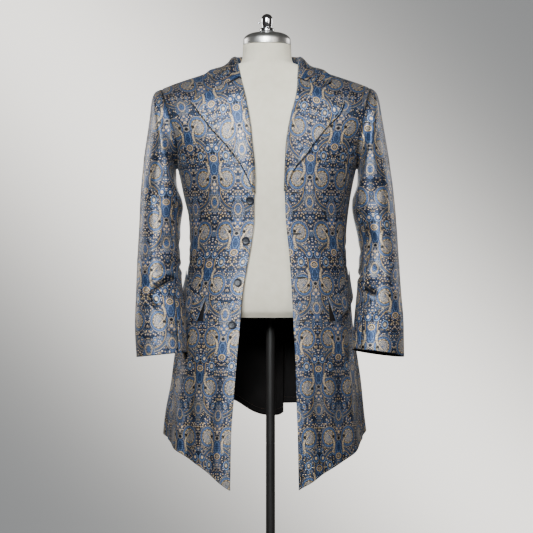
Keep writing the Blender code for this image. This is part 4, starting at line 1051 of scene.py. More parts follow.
def make_black():
    made, tree, shader = plain_material("black_stand", shade(34, 33, 33), 0.42)
    peel = noise(tree, object_place(tree), 220.0)
    broad = noise(tree, object_place(tree), 9.0)
    cloud(tree, shader, shade(30, 29, 29), broad, shade(44, 42, 41))
    plug(tree, broad * 0.2 + 0.3, shader.inputs["Roughness"])
    bump(tree, shader, peel, 0.0002)
    return made


def make_horn():
    made, tree, shader = plain_material("black_button", shade(32, 36, 46), 0.4)
    swirl = noise(tree, object_place(tree), 240.0, 4.0)
    cloud(tree, shader, shade(7, 9, 14), swirl, shade(24, 31, 46))
    plug(tree, swirl * 0.2 + 0.30, shader.inputs["Roughness"])
    shader.inputs["Specular IOR Level"].default_value = 0.5
    return made


def make_thread(name, colour):
    made, tree, shader = plain_material(name, colour, 0.6)
    twist = tree.nodes.new("ShaderNodeTexWave")
    twist.inputs["Scale"].default_value = 900.0
    twist.inputs["Distortion"].default_value = 1.5
    tree.links.new(object_place(tree), twist.inputs["Vector"])
    strands = Signal(tree, twist.outputs["Fac"])
    cloud(tree, shader, tuple(0.6 * part for part in colour), strands, colour)
    bump(tree, shader, strands, 0.0002)
    shader.inputs["Sheen Weight"].default_value = 0.3
    return made


# ---- shells from point grids ----

def add_object(name, data):
    made = bpy.data.objects.new(name, data)
    bpy.context.scene.collection.objects.link(made)
    return made


def piece_mesh(name, points, faces, finishes, slots=None, places=None):
    mesh = bpy.data.meshes.new(name)
    mesh.from_pydata([tuple(point) for point in points], [], faces)
    for finish in finishes:
        mesh.materials.append(finish)
    if slots is not None:
        mesh.polygons.foreach_set("material_index", slots)
    if places is not None:
        layer = mesh.uv_layers.new(name="cut")
        index = np.zeros(len(mesh.loops), dtype=np.int32)
        mesh.loops.foreach_get("vertex_index", index)
        layer.data.foreach_set("uv", np.asarray(places, dtype=np.float32)[index].ravel())
    mesh.shade_smooth()
    mesh.update()
    return add_object(name, mesh)


def declare(piece, node=None):
    """Puts a piece on the root body and hides the solid that it stands for."""
    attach(piece, "root")
    if node is not None:
        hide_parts(node)


def stand_off(points, normals, axis, height, power=2.0):
    """Lets a piece stand off towards its last row or column."""
    share = axis_lengths(points, axis)
    share = share / share.take([-1], axis=axis)
    return points + normals * (share ** power * height)[..., None]


def fold_depth(folds, points, normals):
    """Depth of the listed folds at each point, and the shade painted into them."""
    total = np.zeros(points.shape[:-1])
    dark = np.zeros(points.shape[:-1])
    views = {"front": (0, -1), "back": (0, 1), "left": (1, 1), "right": (1, -1)}
    for view, sizes in ((view, row) for view, rows in folds.items() for row in rows):
        a0, z0, a1, z1, width, depth = (size * MILLIMETRE for size in sizes)
        axis, facing = views[view]
        a, z = points[..., axis], points[..., 2]
        seen = normals[..., 1 - axis] * facing
        run = np.array([a1 - a0, z1 - z0])
        length = math.hypot(*run)
        run /= length
        along = ((a - a0) * run[0] + (z - z0) * run[1]) / length
        aside = (a - a0) * -run[1] + (z - z0) * run[0]
        taper = np.clip(1 - (2 * along - 1) ** 2, 0, 1)
        shown = np.clip(seen / FOLD_SEEN, 0, 1)
        groove = np.exp(-(aside / width) ** 2)
        lip = LIP * np.exp(-((np.abs(aside) - LIP_AT * width) / width) ** 2) * (depth > 0)
        total += depth * taper * shown * (groove - lip)
        dark += depth / width * taper * shown * groove * FOLD_SHADE
    return total, dark


def axis_lengths(points, axis):
    """Distance run along a grid, from its first row or column."""
    steps = np.linalg.norm(np.diff(points, axis=axis), axis=-1)
    start = np.zeros_like(steps.take([0], axis=axis))
    return np.concatenate([start, np.cumsum(steps, axis=axis)], axis=axis)


def turned_lengths(points, head, low, top):
    """Level distance run round a sleeve.

    Above its head row the place is that of the same turn round an axis from low to top, so that
    the cloth's upright lines run on up.
    """
    run = axis_lengths(points * (1, 1, 0), 1)
    rise = np.clip((points[:head + 1, :, 2] - low[2]) / (top[2] - low[2]), 0, 1)[..., None]
    aside = points[:head + 1, :, :2] - low[:2] - (top - low)[:2] * rise
    turn = np.arctan2(aside[..., 1], aside[..., 0])
    turn[-1] = np.unwrap(turn[-1])
    turn[:-1] = turn[-1] + (turn[:-1] - turn[-1] + math.pi) % (2 * math.pi) - math.pi
    if turn[-1, -1] < turn[-1, 0]:
        turn = -turn
    first, last = turn[-1, 0], turn[-1, -1]
    over = np.clip(turn - last, 0, None) + np.clip(turn - first, None, 0)
    run[:head + 1] = np.interp(turn, turn[-1], run[head]) + over * run[head, -1] / (last - first)
    return run


def cut_places(name, across, along):
    """Where a piece lies on the pattern, from the runs across its cloth and up it."""
    aside, above = PATTERN_AT.get(name, (0.0, 0.0))
    return np.stack([across + aside, along + above], axis=-1)


def panel_places(name, points, level, centred=False):
    """The same for a body panel, up from its waist row; far below it the pattern closes up."""
    points = np.nan_to_num(points)   # missing cloth counts as lying at the origin
    across, along = axis_lengths(points, 1), axis_lengths(points, 0)
    if centred:
        across = across - across[:, [across.shape[1] // 2]]
    places = cut_places(name, across, along - along[level])
    places[..., 1] += LOW_STRETCH * np.minimum(places[..., 1] + LOW_AT, 0)
    return places


def sleeve_places(name, points, level, grain, head, low, top):
    """The same for half a sleeve: round it from its grain line, and up it by height."""
    across = turned_lengths(points, head, low, top)
    columns = range(points.shape[1])
    middle = np.array([[np.interp(at * columns[-1], columns, row)] for at, row in zip(grain, across)])
    middle[:head] = middle[head]
    along = (points[..., 2] - points[level, :, 2].mean()) * SLEEVE_STRETCH
    return cut_places(name, across - middle, along)


def seam_depth(points, sewn, start, loose, shaded):
    """How far the cloth sinks at its sewn edges, and how dark the shade painted there is.

    The seam at the start may lie some columns in, and loose rows aren't sewn there.
    """
    u, v = axis_lengths(points, 1), axis_lengths(points, 0)
    sink, dark = np.zeros(u.shape), np.zeros(u.shape)
    for edge, distance in (("start", np.abs(u - u[:, start:start + 1])), ("end", u[:, -1:] - u),
                           ("hem", v), ("top", v[-1:] - v)):
        if edge in sewn:
            held = ~loose if edge == "start" else 1
            reach = HEAD_SHADE if edge == "hem" else SEAM_ROLL
            near = np.clip(1 - distance / SEAM_ROLL, 0, 1) ** 2
            sink = np.maximum(sink, near * held * SEAM_SINK)
            near = np.clip(1 - distance / reach, 0, 1) ** 1.5
            dark = np.maximum(dark, near * held * shaded)
    return sink, dark


def grid_faces(has):
    """Faces of a grid whose four corners have cloth; its points are numbered row by row."""
    index = -np.ones(has.shape, dtype=int)
    index[has] = np.arange(has.sum())
    corners = (index[:-1, :-1], index[:-1, 1:], index[1:, 1:], index[1:, :-1])
    quads = np.stack(corners, axis=-1).reshape(-1, 4)
    return quads[quads.min(axis=1) >= 0]


def rim_outward(outer, facing, quads):
    """Direction out of the cloth's edge, along the cloth; it only matters at the rim."""
    outward = np.zeros(outer.shape)
    np.add.at(outward, quads, outer[quads] - outer[quads].mean(axis=1, keepdims=True))
    outward -= facing * (outward * facing).sum(axis=1)[:, None]
    return outward / np.maximum(np.linalg.norm(outward, axis=1), 1e-9)[:, None]


def wall_mesh(name, outer, facing, quads, thickness, finishes, places, dark):
    """Closed wall of one thickness behind an outer skin, with a rounded rim."""
    inner = outer - facing * thickness
    first = outer[quads[:, 0]]
    turned = np.cross(outer[quads[:, 1]] - first, outer[quads[:, 3]] - first)
    if (turned * facing[quads[:, 0]]).sum() < 0:
        quads = quads[:, ::-1]
    faces = [tuple(quad) for quad in quads.tolist()]
    edges = dict.fromkeys((quad[k - 1], quad[k]) for quad in faces for k in range(4))
    rim = [(a, b) for a, b in edges if (b, a) not in edges]
    on_rim = sorted({a for pair in rim for a in pair})
    outward = rim_outward(outer, facing, quads)[on_rim]
    bulge = (outer[on_rim] + inner[on_rim]) / 2 + outward * thickness * RIM_ROUND
    count = len(outer)
    middle = {a: 2 * count + k for k, a in enumerate(on_rim)}
    slots = [0] * len(faces) + [1] * len(faces)
    faces += [tuple(count + i for i in reversed(quad)) for quad in faces]
    for a, b in rim:
        faces += [(b, a, middle[a], middle[b]), (middle[b], middle[a], count + a, count + b)]
        slots += [0, 1]
    made = piece_mesh(name, np.concatenate([outer, inner, bulge]), faces, finishes, slots,
                      np.concatenate([places, places, places[on_rim]]))
    # each point's painted shade, for the material; the inner wall gets none
    layer = made.data.attributes.new("painted_shade", "FLOAT", "POINT")
    layer.data.foreach_set("value", np.concatenate([dark, np.zeros(count), dark[on_rim]]))
    return made


def shell(name, points, normals, thickness, finishes, sewn="", places=None, start=0,
          shaded=SEAM_SHADE):
    """Cloth shell on a grid of outer points with outward directions; NaN is no cloth.

    Edges named in sewn (start, end, top, hem) sink into their seams and get painted shade there,
    as folds do. The places are those on the cut, and without them the piece's own runs are taken.
    """
    has = ~np.isnan(points[..., 0])
    points, normals = np.nan_to_num(points), np.nan_to_num(normals)
    sink, dark = seam_depth(points, sewn, start, has[:, :1] & (start > 0), shaded)
    if name in FOLD_TROUGHS:
        folds, fold_shade = fold_depth(FOLD_TROUGHS[name], points, normals)
        sink, dark = sink + folds, dark + fold_shade
    if places is None:
        places = cut_places(name, axis_lengths(points, 1), axis_lengths(points, 0))
    outer = points - normals * sink[..., None]
    return wall_mesh(name + "_cloth", outer[has], normals[has], grid_faces(has), thickness,
                     finishes, places[has], np.clip(dark, 0, 1)[has])


def directed(grid, facing):
    """Adds an outward direction to each point of a grid, worked out from its neighbours."""
    last_row, last_column = len(grid) - 1, len(grid[0]) - 1
    total = Vector()
    pairs = []
    for r, row in enumerate(grid):
        pairs.append([])
        for c, point in enumerate(row):
            along = row[min(c + 1, last_column)] - row[max(c - 1, 0)]
            across = grid[min(r + 1, last_row)][c] - grid[max(r - 1, 0)][c]
            normal = along.cross(across)
            total += normal
            pairs[-1].append((point, normal.normalized()))
    sign = 1 if total.dot(facing) > 0 else -1
    return [[(point, normal * sign) for point, normal in row] for row in pairs]


# ---- body panels ----

def lower_rows(side, start, end, top, columns):
    """Rows from the hem to a top height for each column; start and end give edge angles."""
    def level(share, low, high, rise):
        z = mix(low, high, rise)
        return body_cloth(side, mix(start(z), end(z), share), z)
    feet = []
    for share in columns:
        foot = HEM_GUESS
        for _ in range(5):
            foot = hem_height(side, mix(start(foot), end(foot), share))
        feet.append(foot)
    rows = [[level(share, foot, WAIST, r / SKIRT_ROWS) for share, foot in zip(columns, feet)]
            for r in range(SKIRT_ROWS)]
    rows += [[level(share, WAIST, top(share), r / BODICE_ROWS) for share in columns]
             for r in range(BODICE_ROWS + 1)]
    return rows


def upper_rows(side, edge, crest, columns, toward):
    """Rows from the chest to the shoulder; edge gives the inner edge's angle at a height."""
    low = chest_z(side)

    def arm_angle(z):
        angle = front_angle(side, arm_x(side, z), z)
        return angle if toward < 0 else math.pi - angle

    def top_height(share):
        z = TOP_GUESS
        for _ in range(12):
            angle = mix(edge(z), arm_angle(arm_top(side)), share)
            z = crest(half_width(side, z) * spread(angle)[0])
        return z

    tops = [top_height(share) for share in columns]
    rows = []
    steps = UNDER_ANGLE // ARM_STEP
    for k in range(1, steps + 1):
        rise = arm_height(side, UNDER_ANGLE - k * ARM_STEP)
        rise = (rise - low) / (arm_top(side) - low)
        inner_z, outer_z = mix(low, tops[0], rise), mix(low, tops[-1], rise)
        row = []
        for share, top in zip(columns, tops):
            angle = mix(edge(inner_z), arm_angle(outer_z), share)
            row.append(body_cloth(side, angle, mix(low, top, rise), toward * SEAM / 2 * rise))
        rows.append(row)
    return rows


def seam_swing(column, z):
    return math.radians(read(SIDE_SEAM, column, z))


def seam_turn(side, z):
    """Half of a seam's clearance, as an angle round the body."""
    return SEAM / 2 / half_width(side, z)


def front_seam(side, z):
    return side_angle(side) + seam_swing("front_swing", z)


def back_seam(side, z):
    return math.pi - side_angle(side) - seam_swing("back_swing", z)


def underlap_point(share, rise):
    """Point of the underlap, from the centre back (0) to its free edge (1)."""
    def angle(z):
        return math.pi + share * angle_at(UNDERLAP / half_width(RIGHT, z))
    foot = hem_height(RIGHT, angle(HEM_GUESS))
    z = mix(foot, WAIST, rise)
    return body_cloth(RIGHT, angle(z), z)


# ---- sleeves ----

def crease_depth(side, row, degrees):
    total = 0.0
    for centre, angle, lean, length, width, depth in zip(*CREASES[side].values()):
        along = degrees - angle
        across = row - centre - lean * along
        total += depth * math.exp(-(along / length) ** 2 - (across / width) ** 2)
    return total


def sleeve_point(side, row, degrees):
    """Outside of a sleeve: the armhole's own curve at row 0, an oval from row 3 down."""
    chart = SLEEVE[side]
    seam = armhole(side, degrees)
    along = armhole(side, (degrees + 1) % 360) - armhole(side, (degrees - 1) % 360)
    along.normalize()
    away = seam - armhole(side, degrees, HEAD_BASE)
    away = (away - along * away.dot(along)).normalized()
    start = seam + away * (SEAM + HEAD_REACH * row)
    share = ease(read(chart, "share", row))
    outer = Vector((side * read(chart, "outer_x", row), 0, read(chart, "outer_z", row)))
    inner = Vector((side * read(chart, "inner_x", row), 0, read(chart, "inner_z", row)))
    turn = math.radians(degrees)
    depth = read(chart, "depth", row) - crease_depth(side, row, degrees)
    point = (outer + inner) / 2 + (outer - inner) / 2 * math.cos(turn)
    point.y = read(chart, "middle_y", row) - depth * math.sin(turn)
    point.z += CUFF_PITCH[side] * math.sin(turn) * ease((row - 8) / 4)
    return start.lerp(point, share)


def sleeve_cloth(side, row, degrees):
    """A sleeve's point and its outward direction; at the armhole it is the body's own."""
    point = sleeve_point(side, row, degrees)
    if row == 0:
        return point, body_normal(side, *armhole_place(side, degrees))
    turn, step = 2.0, min(0.1, row / 2)
    round_it = sleeve_point(side, row, (degrees + turn) % 360) - sleeve_point(
        side, row, (degrees - turn) % 360)
    down_it = sleeve_point(side, min(row + step, 12), degrees) - sleeve_point(
        side, row - step, degrees)
    return point, (round_it.cross(down_it) * side).normalized()


# ---- lapels, collar, flaps, linings ----

def gorge_bend(share, fullness):
    """Rise of the lapel's top edge over a straight line, fullest halfway to the notch."""
    return GORGE_FULLNESS * fullness * 2 * min(share, 1 - share)


def lapel_grid(side):
    """Rolls back from the front edge and lies on the chest, up to the gorge."""
    name = SIDE_NAME[side]
    rows = []
    for k in range(LAPEL_ROWS + 1):
        share = k / LAPEL_ROWS
        roll_z = mix(BREAK_Z, GORGE_Z - LAPEL_STOP, share)
        outer_z = mix(BREAK_Z, LAPEL_CORNER_Z, share)
        roll_x = edge_x(side, roll_z)
        outer_x = read(LAPEL_EDGE, name, outer_z)
        angle = front_angle(side, roll_x, roll_z)
        edge_point = body_point(side, angle, roll_z)
        normal = body_normal(side, angle, roll_z)
        opening = Vector((-side, 0, 0))
        row = [edge_point + opening * out + normal * forward
               for out, forward in zip(LAPEL_WRAP["out"], LAPEL_WRAP["forward"])]
        for across in LAPEL_SHARES:
            x = mix(roll_x, outer_x, across)
            z = mix(roll_z, outer_z, across) + gorge_bend(across, share ** 6)
            height = LAPEL_LIE + COLLAR_WALL + LAPEL_ROLL * (1 - across) ** 3
            row.append(lifted(side, front_angle(side, x, z), z, height))
        rows.append(row)
    return rows


def neck_seam(side, share):
    """Angle and height of the neckline, from the centre back (0) to the gorge (1)."""
    if share < COLLAR_SIDE:
        x = NECK_X * math.sin(share / COLLAR_SIDE * math.pi / 2)
        z = neckline_height(x)
        return math.pi - front_angle(side, x, z), z
    z = mix(shoulder_height(NECK_X), GORGE_Z + COLLAR_STOP, (share - COLLAR_SIDE) / (1 - COLLAR_SIDE))
    return front_angle(side, edge_x(side, z), z), z


def collar_column(side, share):
    """Points across the collar: up the stand's neck side, over the fold, down the leaf."""
    angle, z = neck_seam(side, share)
    seam = body_point(side, angle, z)
    outward = Vector((seam.x, seam.y, 0)).normalized()
    stand = read(COLLAR_EDGE, "stand", share)
    drop = STAND_DROP * (1 - ease((share - 0.7) / 0.3))
    inside = STAND_INSET + STAND_SPRING * ease(1 - abs(share - 0.34) / 0.2)
    column = [seam - outward * inside - UP * drop,
              seam - outward * (inside + 0.0008) + UP * stand * 0.5]
    column += [seam + outward * out + UP * (stand + rise)
               for out, rise in zip(COLLAR_FOLD["out"], COLLAR_FOLD["rise"])]
    for across in LEAF_SHARES:
        x = mix(abs(seam.x), read(COLLAR_EDGE, "x", share), across)
        low = mix(z, read(COLLAR_EDGE, "z", share), across)
        notch = ease((share - 0.75) / 0.25)
        reach = min(across / 0.68, (1 - across) / 0.32)
        low -= NOTCH_BOW * notch * reach
        on_crest = max(0.0, 1 - abs(share - COLLAR_SIDE) / 0.03)
        low = mix(min(low, shoulder_height(x)), shoulder_height(x), on_crest)
        spot = front_angle(side, x, low)
        if share < COLLAR_SIDE:
            spot = math.pi - spot
        rest = lifted(side, spot, low, COLLAR_LIE + COLLAR_WALL + LAPEL_ROLL * (1 - across) ** 3)
        hang = max(0.0, 1 - across / 0.62) ** 1.6
        column.append(rest + UP * stand * hang + outward * FOLD_SPRING * hang)
    return column


def flap_point(side, share, down, height):
    top_angle = math.radians(read(FLAP, "top_angle", share))
    low_angle = math.radians(read(FLAP, "low_angle", share))
    z = mix(read(FLAP, "top_z", share), read(FLAP, "low_z", share), down)
    height += read(FLAP, "stand_off", share) * down
    return lifted(side, mix(top_angle, low_angle, down), z, height)


def flap_corner(side):
    """The corner of flap lining that shows in front of the flap."""
    rows = []
    for down, front, back in zip(CORNER["down"], CORNER["front"], CORNER["back"]):
        row = []
        for k in range(CORNER_COLUMNS + 1):
            angle = mix(front, back, k / CORNER_COLUMNS)
            z = mix(read(FLAP, "top_z", 0), read(FLAP, "low_z", 0), down)
            z += (angle - front) * CORNER_RISE * (1 - down) + CORNER_LIFT * down
            row.append(lifted(side, math.radians(angle), z, LIE + FLAP_LINING_WALL))
        rows.append(row)
    return rows


def lining_angle(side, column, first, columns, z):
    """Body angle of a lining column; those below 0 lie inside the underlap."""
    if column < 0:
        reach = angle_at((UNDERLAP - UNDERLAP_IN) / half_width(RIGHT, z))
        return math.pi - column / VENT_COLUMNS * reach
    if side == LEFT and column == first:
        return math.pi - angle_at((UNDERLAP + UNDERLAP_OUT) / half_width(LEFT, z))
    seam = seam_turn(side, z)
    return mix(math.pi - seam, back_seam(side, z) + seam, columns[column])


def skirt_lining(side):
    """Lining inside the back skirt, made from the back's own columns moved in.

    The right one covers the underlap too, and the left one starts beside the underlap's edge.
    """
    columns = back_columns(side)[:-1]
    gap = angle_at((UNDERLAP + UNDERLAP_OUT) / half_width(LEFT, 0.8))
    gap /= math.pi - back_seam(LEFT, 0.8)
    first = -VENT_COLUMNS if side == RIGHT else bisect_right(columns, gap)
    rows = []
    for r in range(SKIRT_ROWS + 1):
        row = []
        for c in range(first, len(columns)):
            inset = WALL + LINING_LIE + (VENT_EASE if side == LEFT and c == first else 0)
            foot = hem_height(side, lining_angle(side, c, first, columns, HEM_GUESS)) + LINING_RISE
            z = mix(foot, WAIST - LINING_TOP, r / SKIRT_ROWS)
            point, normal = body_cloth(side, lining_angle(side, c, first, columns, z), z)
            row.append((point - normal * inset, normal))
        rows.append(row)
    return rows


# ---- dress form ----

def form_crest(x):
    """Top of the form's shoulder: just under the coat, and lower inside its neckline."""
    inside = 1 - ease((abs(x) - NECK_X) / 0.04)
    return shoulder_height(x) - FORM_EASE - FORM_NECK_EASE * inside


def trunk_width(z):
    """Half width of the trunk, closing on the shoulder line above the arms' ends."""
    width = read(TORSO, "width", z)
    low, high = 0.0, width
    if form_crest(width) > z:
        return width
    for _ in range(40):
        middle = (low + high) / 2
        if form_crest(middle) > z:
            low = middle
        else:
            high = middle
    return low


def trunk_ring(z):
    """Closed ring of the trunk at one height, inside the coat all round."""
    ring = []
    width = trunk_width(z)
    boxy = mix(SQUARENESS, FORM_SQUARENESS, ease((z - 1.30) / 0.12))
    for k in range(TORSO_POINTS):
        turn = 2 * math.pi * k / TORSO_POINTS
        x = width * math.sin(turn)
        full = read(TORSO, "width", z)
        closing = max(0.0, 1 - min(abs(x) / full, 1) ** boxy) ** (1 / boxy)
        fore = math.cos(turn) > 0
        depth = read(BODY, "front_depth" if fore else "back_depth", z)
        depth -= read(TORSO, "front_inset" if fore else "back_inset", z)
        y = depth * closing * shoulder_fall(form_crest(x), z)
        neck = NECK_RADIUS * math.sqrt(max(0.0, 1 - (x / NECK_RADIUS) ** 2)) * ease((z - 1.46) / 0.04)
        if not fore:
            neck *= NECK_BACK
        y = max(y, neck)
        ring.append(Vector((x, -y if fore else y, z)))
    return ring


def neck_ring(z):
    ring = []
    for k in range(TORSO_POINTS):
        turn = 2 * math.pi * k / TORSO_POINTS
        along = -math.cos(turn) * read(NECK_ROWS, "half_depth", z)
        if along > 0:
            along *= NECK_BACK
        ring.append(Vector((read(NECK_ROWS, "half_width", z) * math.sin(turn), along, z)))
    return ring


# ---- the coat ----

def crowded(count, factor, close=(0.06, 0.14, 0.25, 0.42, 0.7)):
    """Places along a coarse grid, a factor finer, and crowded where edges sink or roll."""
    last = count - 1
    inside = np.linspace(1, last - 1, (last - 2) * factor + 1)
    return np.array([0.0, *close, *inside, *(last - place for place in reversed(close)), last])


def resample(values, keys, places, axis):
    """Smooth curves along one axis of a grid, read at places between its lines."""
    values = np.moveaxis(values, axis, 0)
    steps = np.diff(keys)
    rates = np.diff(values, axis=0) / steps[:, None, None]
    blend = (steps[1:] / (steps[:-1] + steps[1:]))[:, None, None]
    slopes = np.concatenate([rates[:1], rates[:-1] * blend + rates[1:] * (1 - blend), rates[-1:]])
    at = np.interp(places, range(len(keys)), keys)
    i = np.clip(np.searchsorted(keys, at, side="right") - 1, 0, len(keys) - 2)
    size = steps[i][:, None, None]
    t = (at - keys[i])[:, None, None] / size
    smooth = curve(t, values[i], values[i + 1], size * slopes[i], size * slopes[i + 1])
    return np.moveaxis(smooth, 0, axis)


def finer(points, normals, row_places, column_places):
    """The same surface through the points of a grid, with more rows and columns."""
    for axis, places in ((0, row_places), (1, column_places)):
        chords = np.linalg.norm(np.diff(points, axis=axis), axis=-1).mean(axis=1 - axis)
        keys = np.concatenate([[0.0], np.cumsum(chords)])
        points, normals = (resample(values, keys, places, axis) for values in (points, normals))
    return points, normals / np.linalg.norm(normals, axis=-1, keepdims=True)


def split_pairs(grid):
    points = np.array([[tuple(pair[0]) for pair in row] for row in grid])
    return points, np.array([[tuple(pair[1]) for pair in row] for row in grid])


def panel(grid, factor=4, across=4, level=0):
    """Fine points and directions of a grid, and the fine row of one of its levels."""
    points, normals = split_pairs(grid)
    places = crowded(points.shape[0], factor)
    fine = finer(points, normals, places, crowded(points.shape[1], across))
    return (*fine, int(np.argmin(np.abs(places - level))))


def dress(piece, node):
    """Puts a shell in the place of its solid."""
    declare(piece, node)


def front_shell(side, cloth):
    """A front; gives the stitch lines up its edge and along its hem."""
    def edge(z):
        return front_angle(side, edge_x(side, z), z)
    columns = shares(FRONT_COLUMNS)
    rows = lower_rows(side, edge, lambda z: front_seam(side, z) - seam_turn(side, z),
                      lambda share: chest_z(side), columns)
    rows += upper_rows(side, edge, shoulder_height, columns, -1)
    name = "front_" + SIDE_NAME[side]
    points, normals, level = panel(rows, level=SKIRT_ROWS)
    piece = shell(name, points, normals, WALL, cloth, "end top", panel_places(name, points, level))
    dress(piece, name)
    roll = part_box("lapel_" + SIDE_NAME[side])[0][2] - STITCH_STOP
    edge_line = inset_line(points, normals, 1)
    return [edge_line[edge_line[:, 2] < roll], inset_line(points, normals, 0)[:-2]]


def side_shell(side, cloth):
    columns = [k / SIDE_COLUMNS for k in range(SIDE_COLUMNS + 1)]

    def top(share):
        return arm_height(side, mix(UNDER_ANGLE, 360 - UNDER_ANGLE, share))
    rows = lower_rows(side, lambda z: front_seam(side, z) + seam_turn(side, z),
                      lambda z: back_seam(side, z) - seam_turn(side, z), top, columns)
    name = "side_" + SIDE_NAME[side]
    points, normals, level = panel(rows, level=SKIRT_ROWS)
    piece = shell(name, points, normals, WALL, cloth, "start end top",
                  panel_places(name, points, level, centred=True))
    dress(piece, name)


def back_columns(side):
    """Shares across the back, with one column at the shoulder seam's neck end."""
    neck = front_angle(side, NECK_X, shoulder_height(NECK_X))
    neck /= front_angle(side, arm_x(side, arm_top(side)), arm_top(side))
    return [neck * share for share in NECK_COLUMNS] + [mix(neck, 1, s) for s in BACK_COLUMNS]


def with_underlap(points, normals, rows):
    """Adds the vent's underlap before a back's first column; above it there is no cloth."""
    lap = [[underlap_point(k / VENT_COLUMNS, r / SKIRT_ROWS)
            for k in range(VENT_COLUMNS, -1, -1)] for r in range(SKIRT_ROWS + 1)]
    places = crowded(rows, 4)
    places = places[places <= SKIRT_ROWS]
    lap, lap_normals = finer(*split_pairs(lap), places, np.linspace(0, VENT_COLUMNS, 17))
    first = lap.shape[1] - 1
    points, normals = (np.concatenate([np.full((len(points), first, 3), np.nan), whole], axis=1)
                       for whole in (points, normals))
    points[:len(places), :first] = lap[:, :-1]
    normals[:len(places), :first] = lap_normals[:, :-1]
    return points, normals, first


def back_shell(side, cloth):
    columns = back_columns(side)

    def centre(z):
        return math.pi - seam_turn(side, z) * 1.5
    rows = lower_rows(side, centre, lambda z: back_seam(side, z) + seam_turn(side, z),
                      lambda share: chest_z(side), columns)
    rows += upper_rows(side, centre, neckline_height, columns, 1)
    points, normals, level = panel(rows, level=SKIRT_ROWS)
    first = 0
    if side == RIGHT:
        points, normals, first = with_underlap(points, normals, len(rows))
    name = "back_" + SIDE_NAME[side]
    piece = shell(name, points, normals, WALL, cloth, "start end top",
                  panel_places(name, points, level), first)
    dress(piece, name)


def sleeve_shells(side, cloth):
    """Top and under sleeve; the cloth of their heads turns round one axis, from low to top."""
    low = np.mean([tuple(sleeve_cloth(side, HEAD_ROW, 45 * k)[0]) for k in range(8)], axis=0)
    top = np.array(sleeve_cloth(side, 0, 0)[0]) - (side * HEAD_AXIS_IN, 0, 0)
    row_places = crowded(len(SLEEVE_ROWS), SLEEVE_FACTOR)
    head = int(np.argmin(np.abs(row_places - SLEEVE_ROWS.index(HEAD_ROW))))
    for part, first, last in (("top_sleeve_", BACK_SEAM_ANGLE - 360, FRONT_SEAM_ANGLE),
                              ("under_sleeve_", FRONT_SEAM_ANGLE, BACK_SEAM_ANGLE)):
        name = part + SIDE_NAME[side]
        count = (last - first) // ARM_STEP
        angles = [mix(first + SLEEVE_SEAM, last - SLEEVE_SEAM, k / count) for k in range(count + 1)]
        rows = [[sleeve_cloth(side, row, angle % 360) for angle in angles] for row in SLEEVE_ROWS]
        points, normals, level = panel(rows, SLEEVE_FACTOR, 3, SLEEVE_ROWS.index(LEVEL_ROW))
        grain = [np.clip((read(GRAIN[side], "angle", row) - first) / (last - first), 0, 1)
                 for row in SLEEVE_ROWS]
        grain = np.interp(row_places, range(len(rows)), grain)
        fine = crowded(count + 1, 3)
        grain = np.interp(grain * count, fine, np.linspace(0, 1, len(fine)))
        piece = shell(name, points, normals, WALL, cloth, "start end hem",
                      sleeve_places(name, points, level, grain, head, low, top))
        dress(piece, name)


def lapel_shell(side, cloth):
    """A lapel; gives the stitch line along its outer edge."""
    name = "lapel_" + SIDE_NAME[side]
    grid = directed(lapel_grid(side), Vector((side * 0.4, -1, 0)))
    points, normals, _ = panel(grid, 8, 5)
    points = stand_off(points, normals, 1, LAPEL_LIFT)
    # the outer edge sinks a little and gets painted shade
    piece = shell(name, points, normals, COLLAR_WALL, cloth, "end", shaded=EDGE_SHADE)
    dress(piece, name)
    return [inset_line(points[:, ::-1], normals[:, ::-1], 1)]


def collar_shell(cloth):
    """The collar, whose cloth is cut across the pattern."""
    rows = [collar_column(RIGHT, share) for share in reversed(COLLAR_SHARES)]
    rows += [collar_column(LEFT, share) for share in COLLAR_SHARES[1:]]
    points, normals, _ = panel(directed(rows, UP), 8, 5)
    points = stand_off(points, normals, 1, COLLAR_LIFT, 5.0)
    places = cut_places("collar", axis_lengths(points, 0), axis_lengths(points, 1))
    # the outer edge sinks a little and gets painted shade
    piece = shell("collar", points, normals, COLLAR_WALL, cloth, "end", places, shaded=EDGE_SHADE)
    dress(piece, "collar")


def flap_shells(side, cloth, satin):
    """A pocket flap, and the corner of lining beside it."""
    height = LIE + FLAP_LINING_WALL + LIE + FLAP_WALL
    facing = Vector((side, -0.5, 0))
    name = "pocket_flap_" + SIDE_NAME[side]
    rows = [[flap_point(side, k / FLAP_COLUMNS, down, height) for k in range(FLAP_COLUMNS + 1)]
            for down in FLAP_ROWS]
    points, normals, _ = panel(directed(rows, facing), 5, 4)
    points = stand_off(points, normals, 0, FLAP_LIFT)
    places = cut_places(name, axis_lengths(points, 1), -axis_lengths(points, 0))
    piece = shell(name, points, normals, FLAP_WALL, cloth, places=places)
    dress(piece, name)
    name = "flap_lining_" + SIDE_NAME[side]
    points, normals, _ = panel(directed(flap_corner(side), facing), 5, 4)
    piece = shell(name, points, normals, FLAP_LINING_WALL, [satin, satin])
    dress(piece, name)


def lining_shell(side, satin):
    """A skirt lining; gives the stitch line above its hem."""
    name = "skirt_lining_" + SIDE_NAME[side]
    points, normals, _ = panel(skirt_lining(side))
    piece = shell(name, points, normals, LINING_WALL, [satin, satin])
    dress(piece, name)
    return [inset_line(points - normals * LINING_WALL, -normals, 0, LINING_INSET)]


# ---- sewing ----

def inset_line(points, normals, axis, inset=STITCH_INSET):
    """A line on the cloth that keeps its distance from the first row or column."""
    run = axis_lengths(points, axis)
    if axis == 0:
        points, normals, run = (np.swapaxes(part, 0, 1) for part in (points, normals, run))
    line = []
    for row, up_row, lengths in zip(points, normals, run):
        spot = [np.interp(inset, lengths, row[:, k]) for k in range(3)]
        out = [np.interp(inset, lengths, up_row[:, k]) for k in range(3)]
        line.append(np.array(spot) + np.array(out) * THREAD_RADIUS * 0.5)
    return np.array(line)


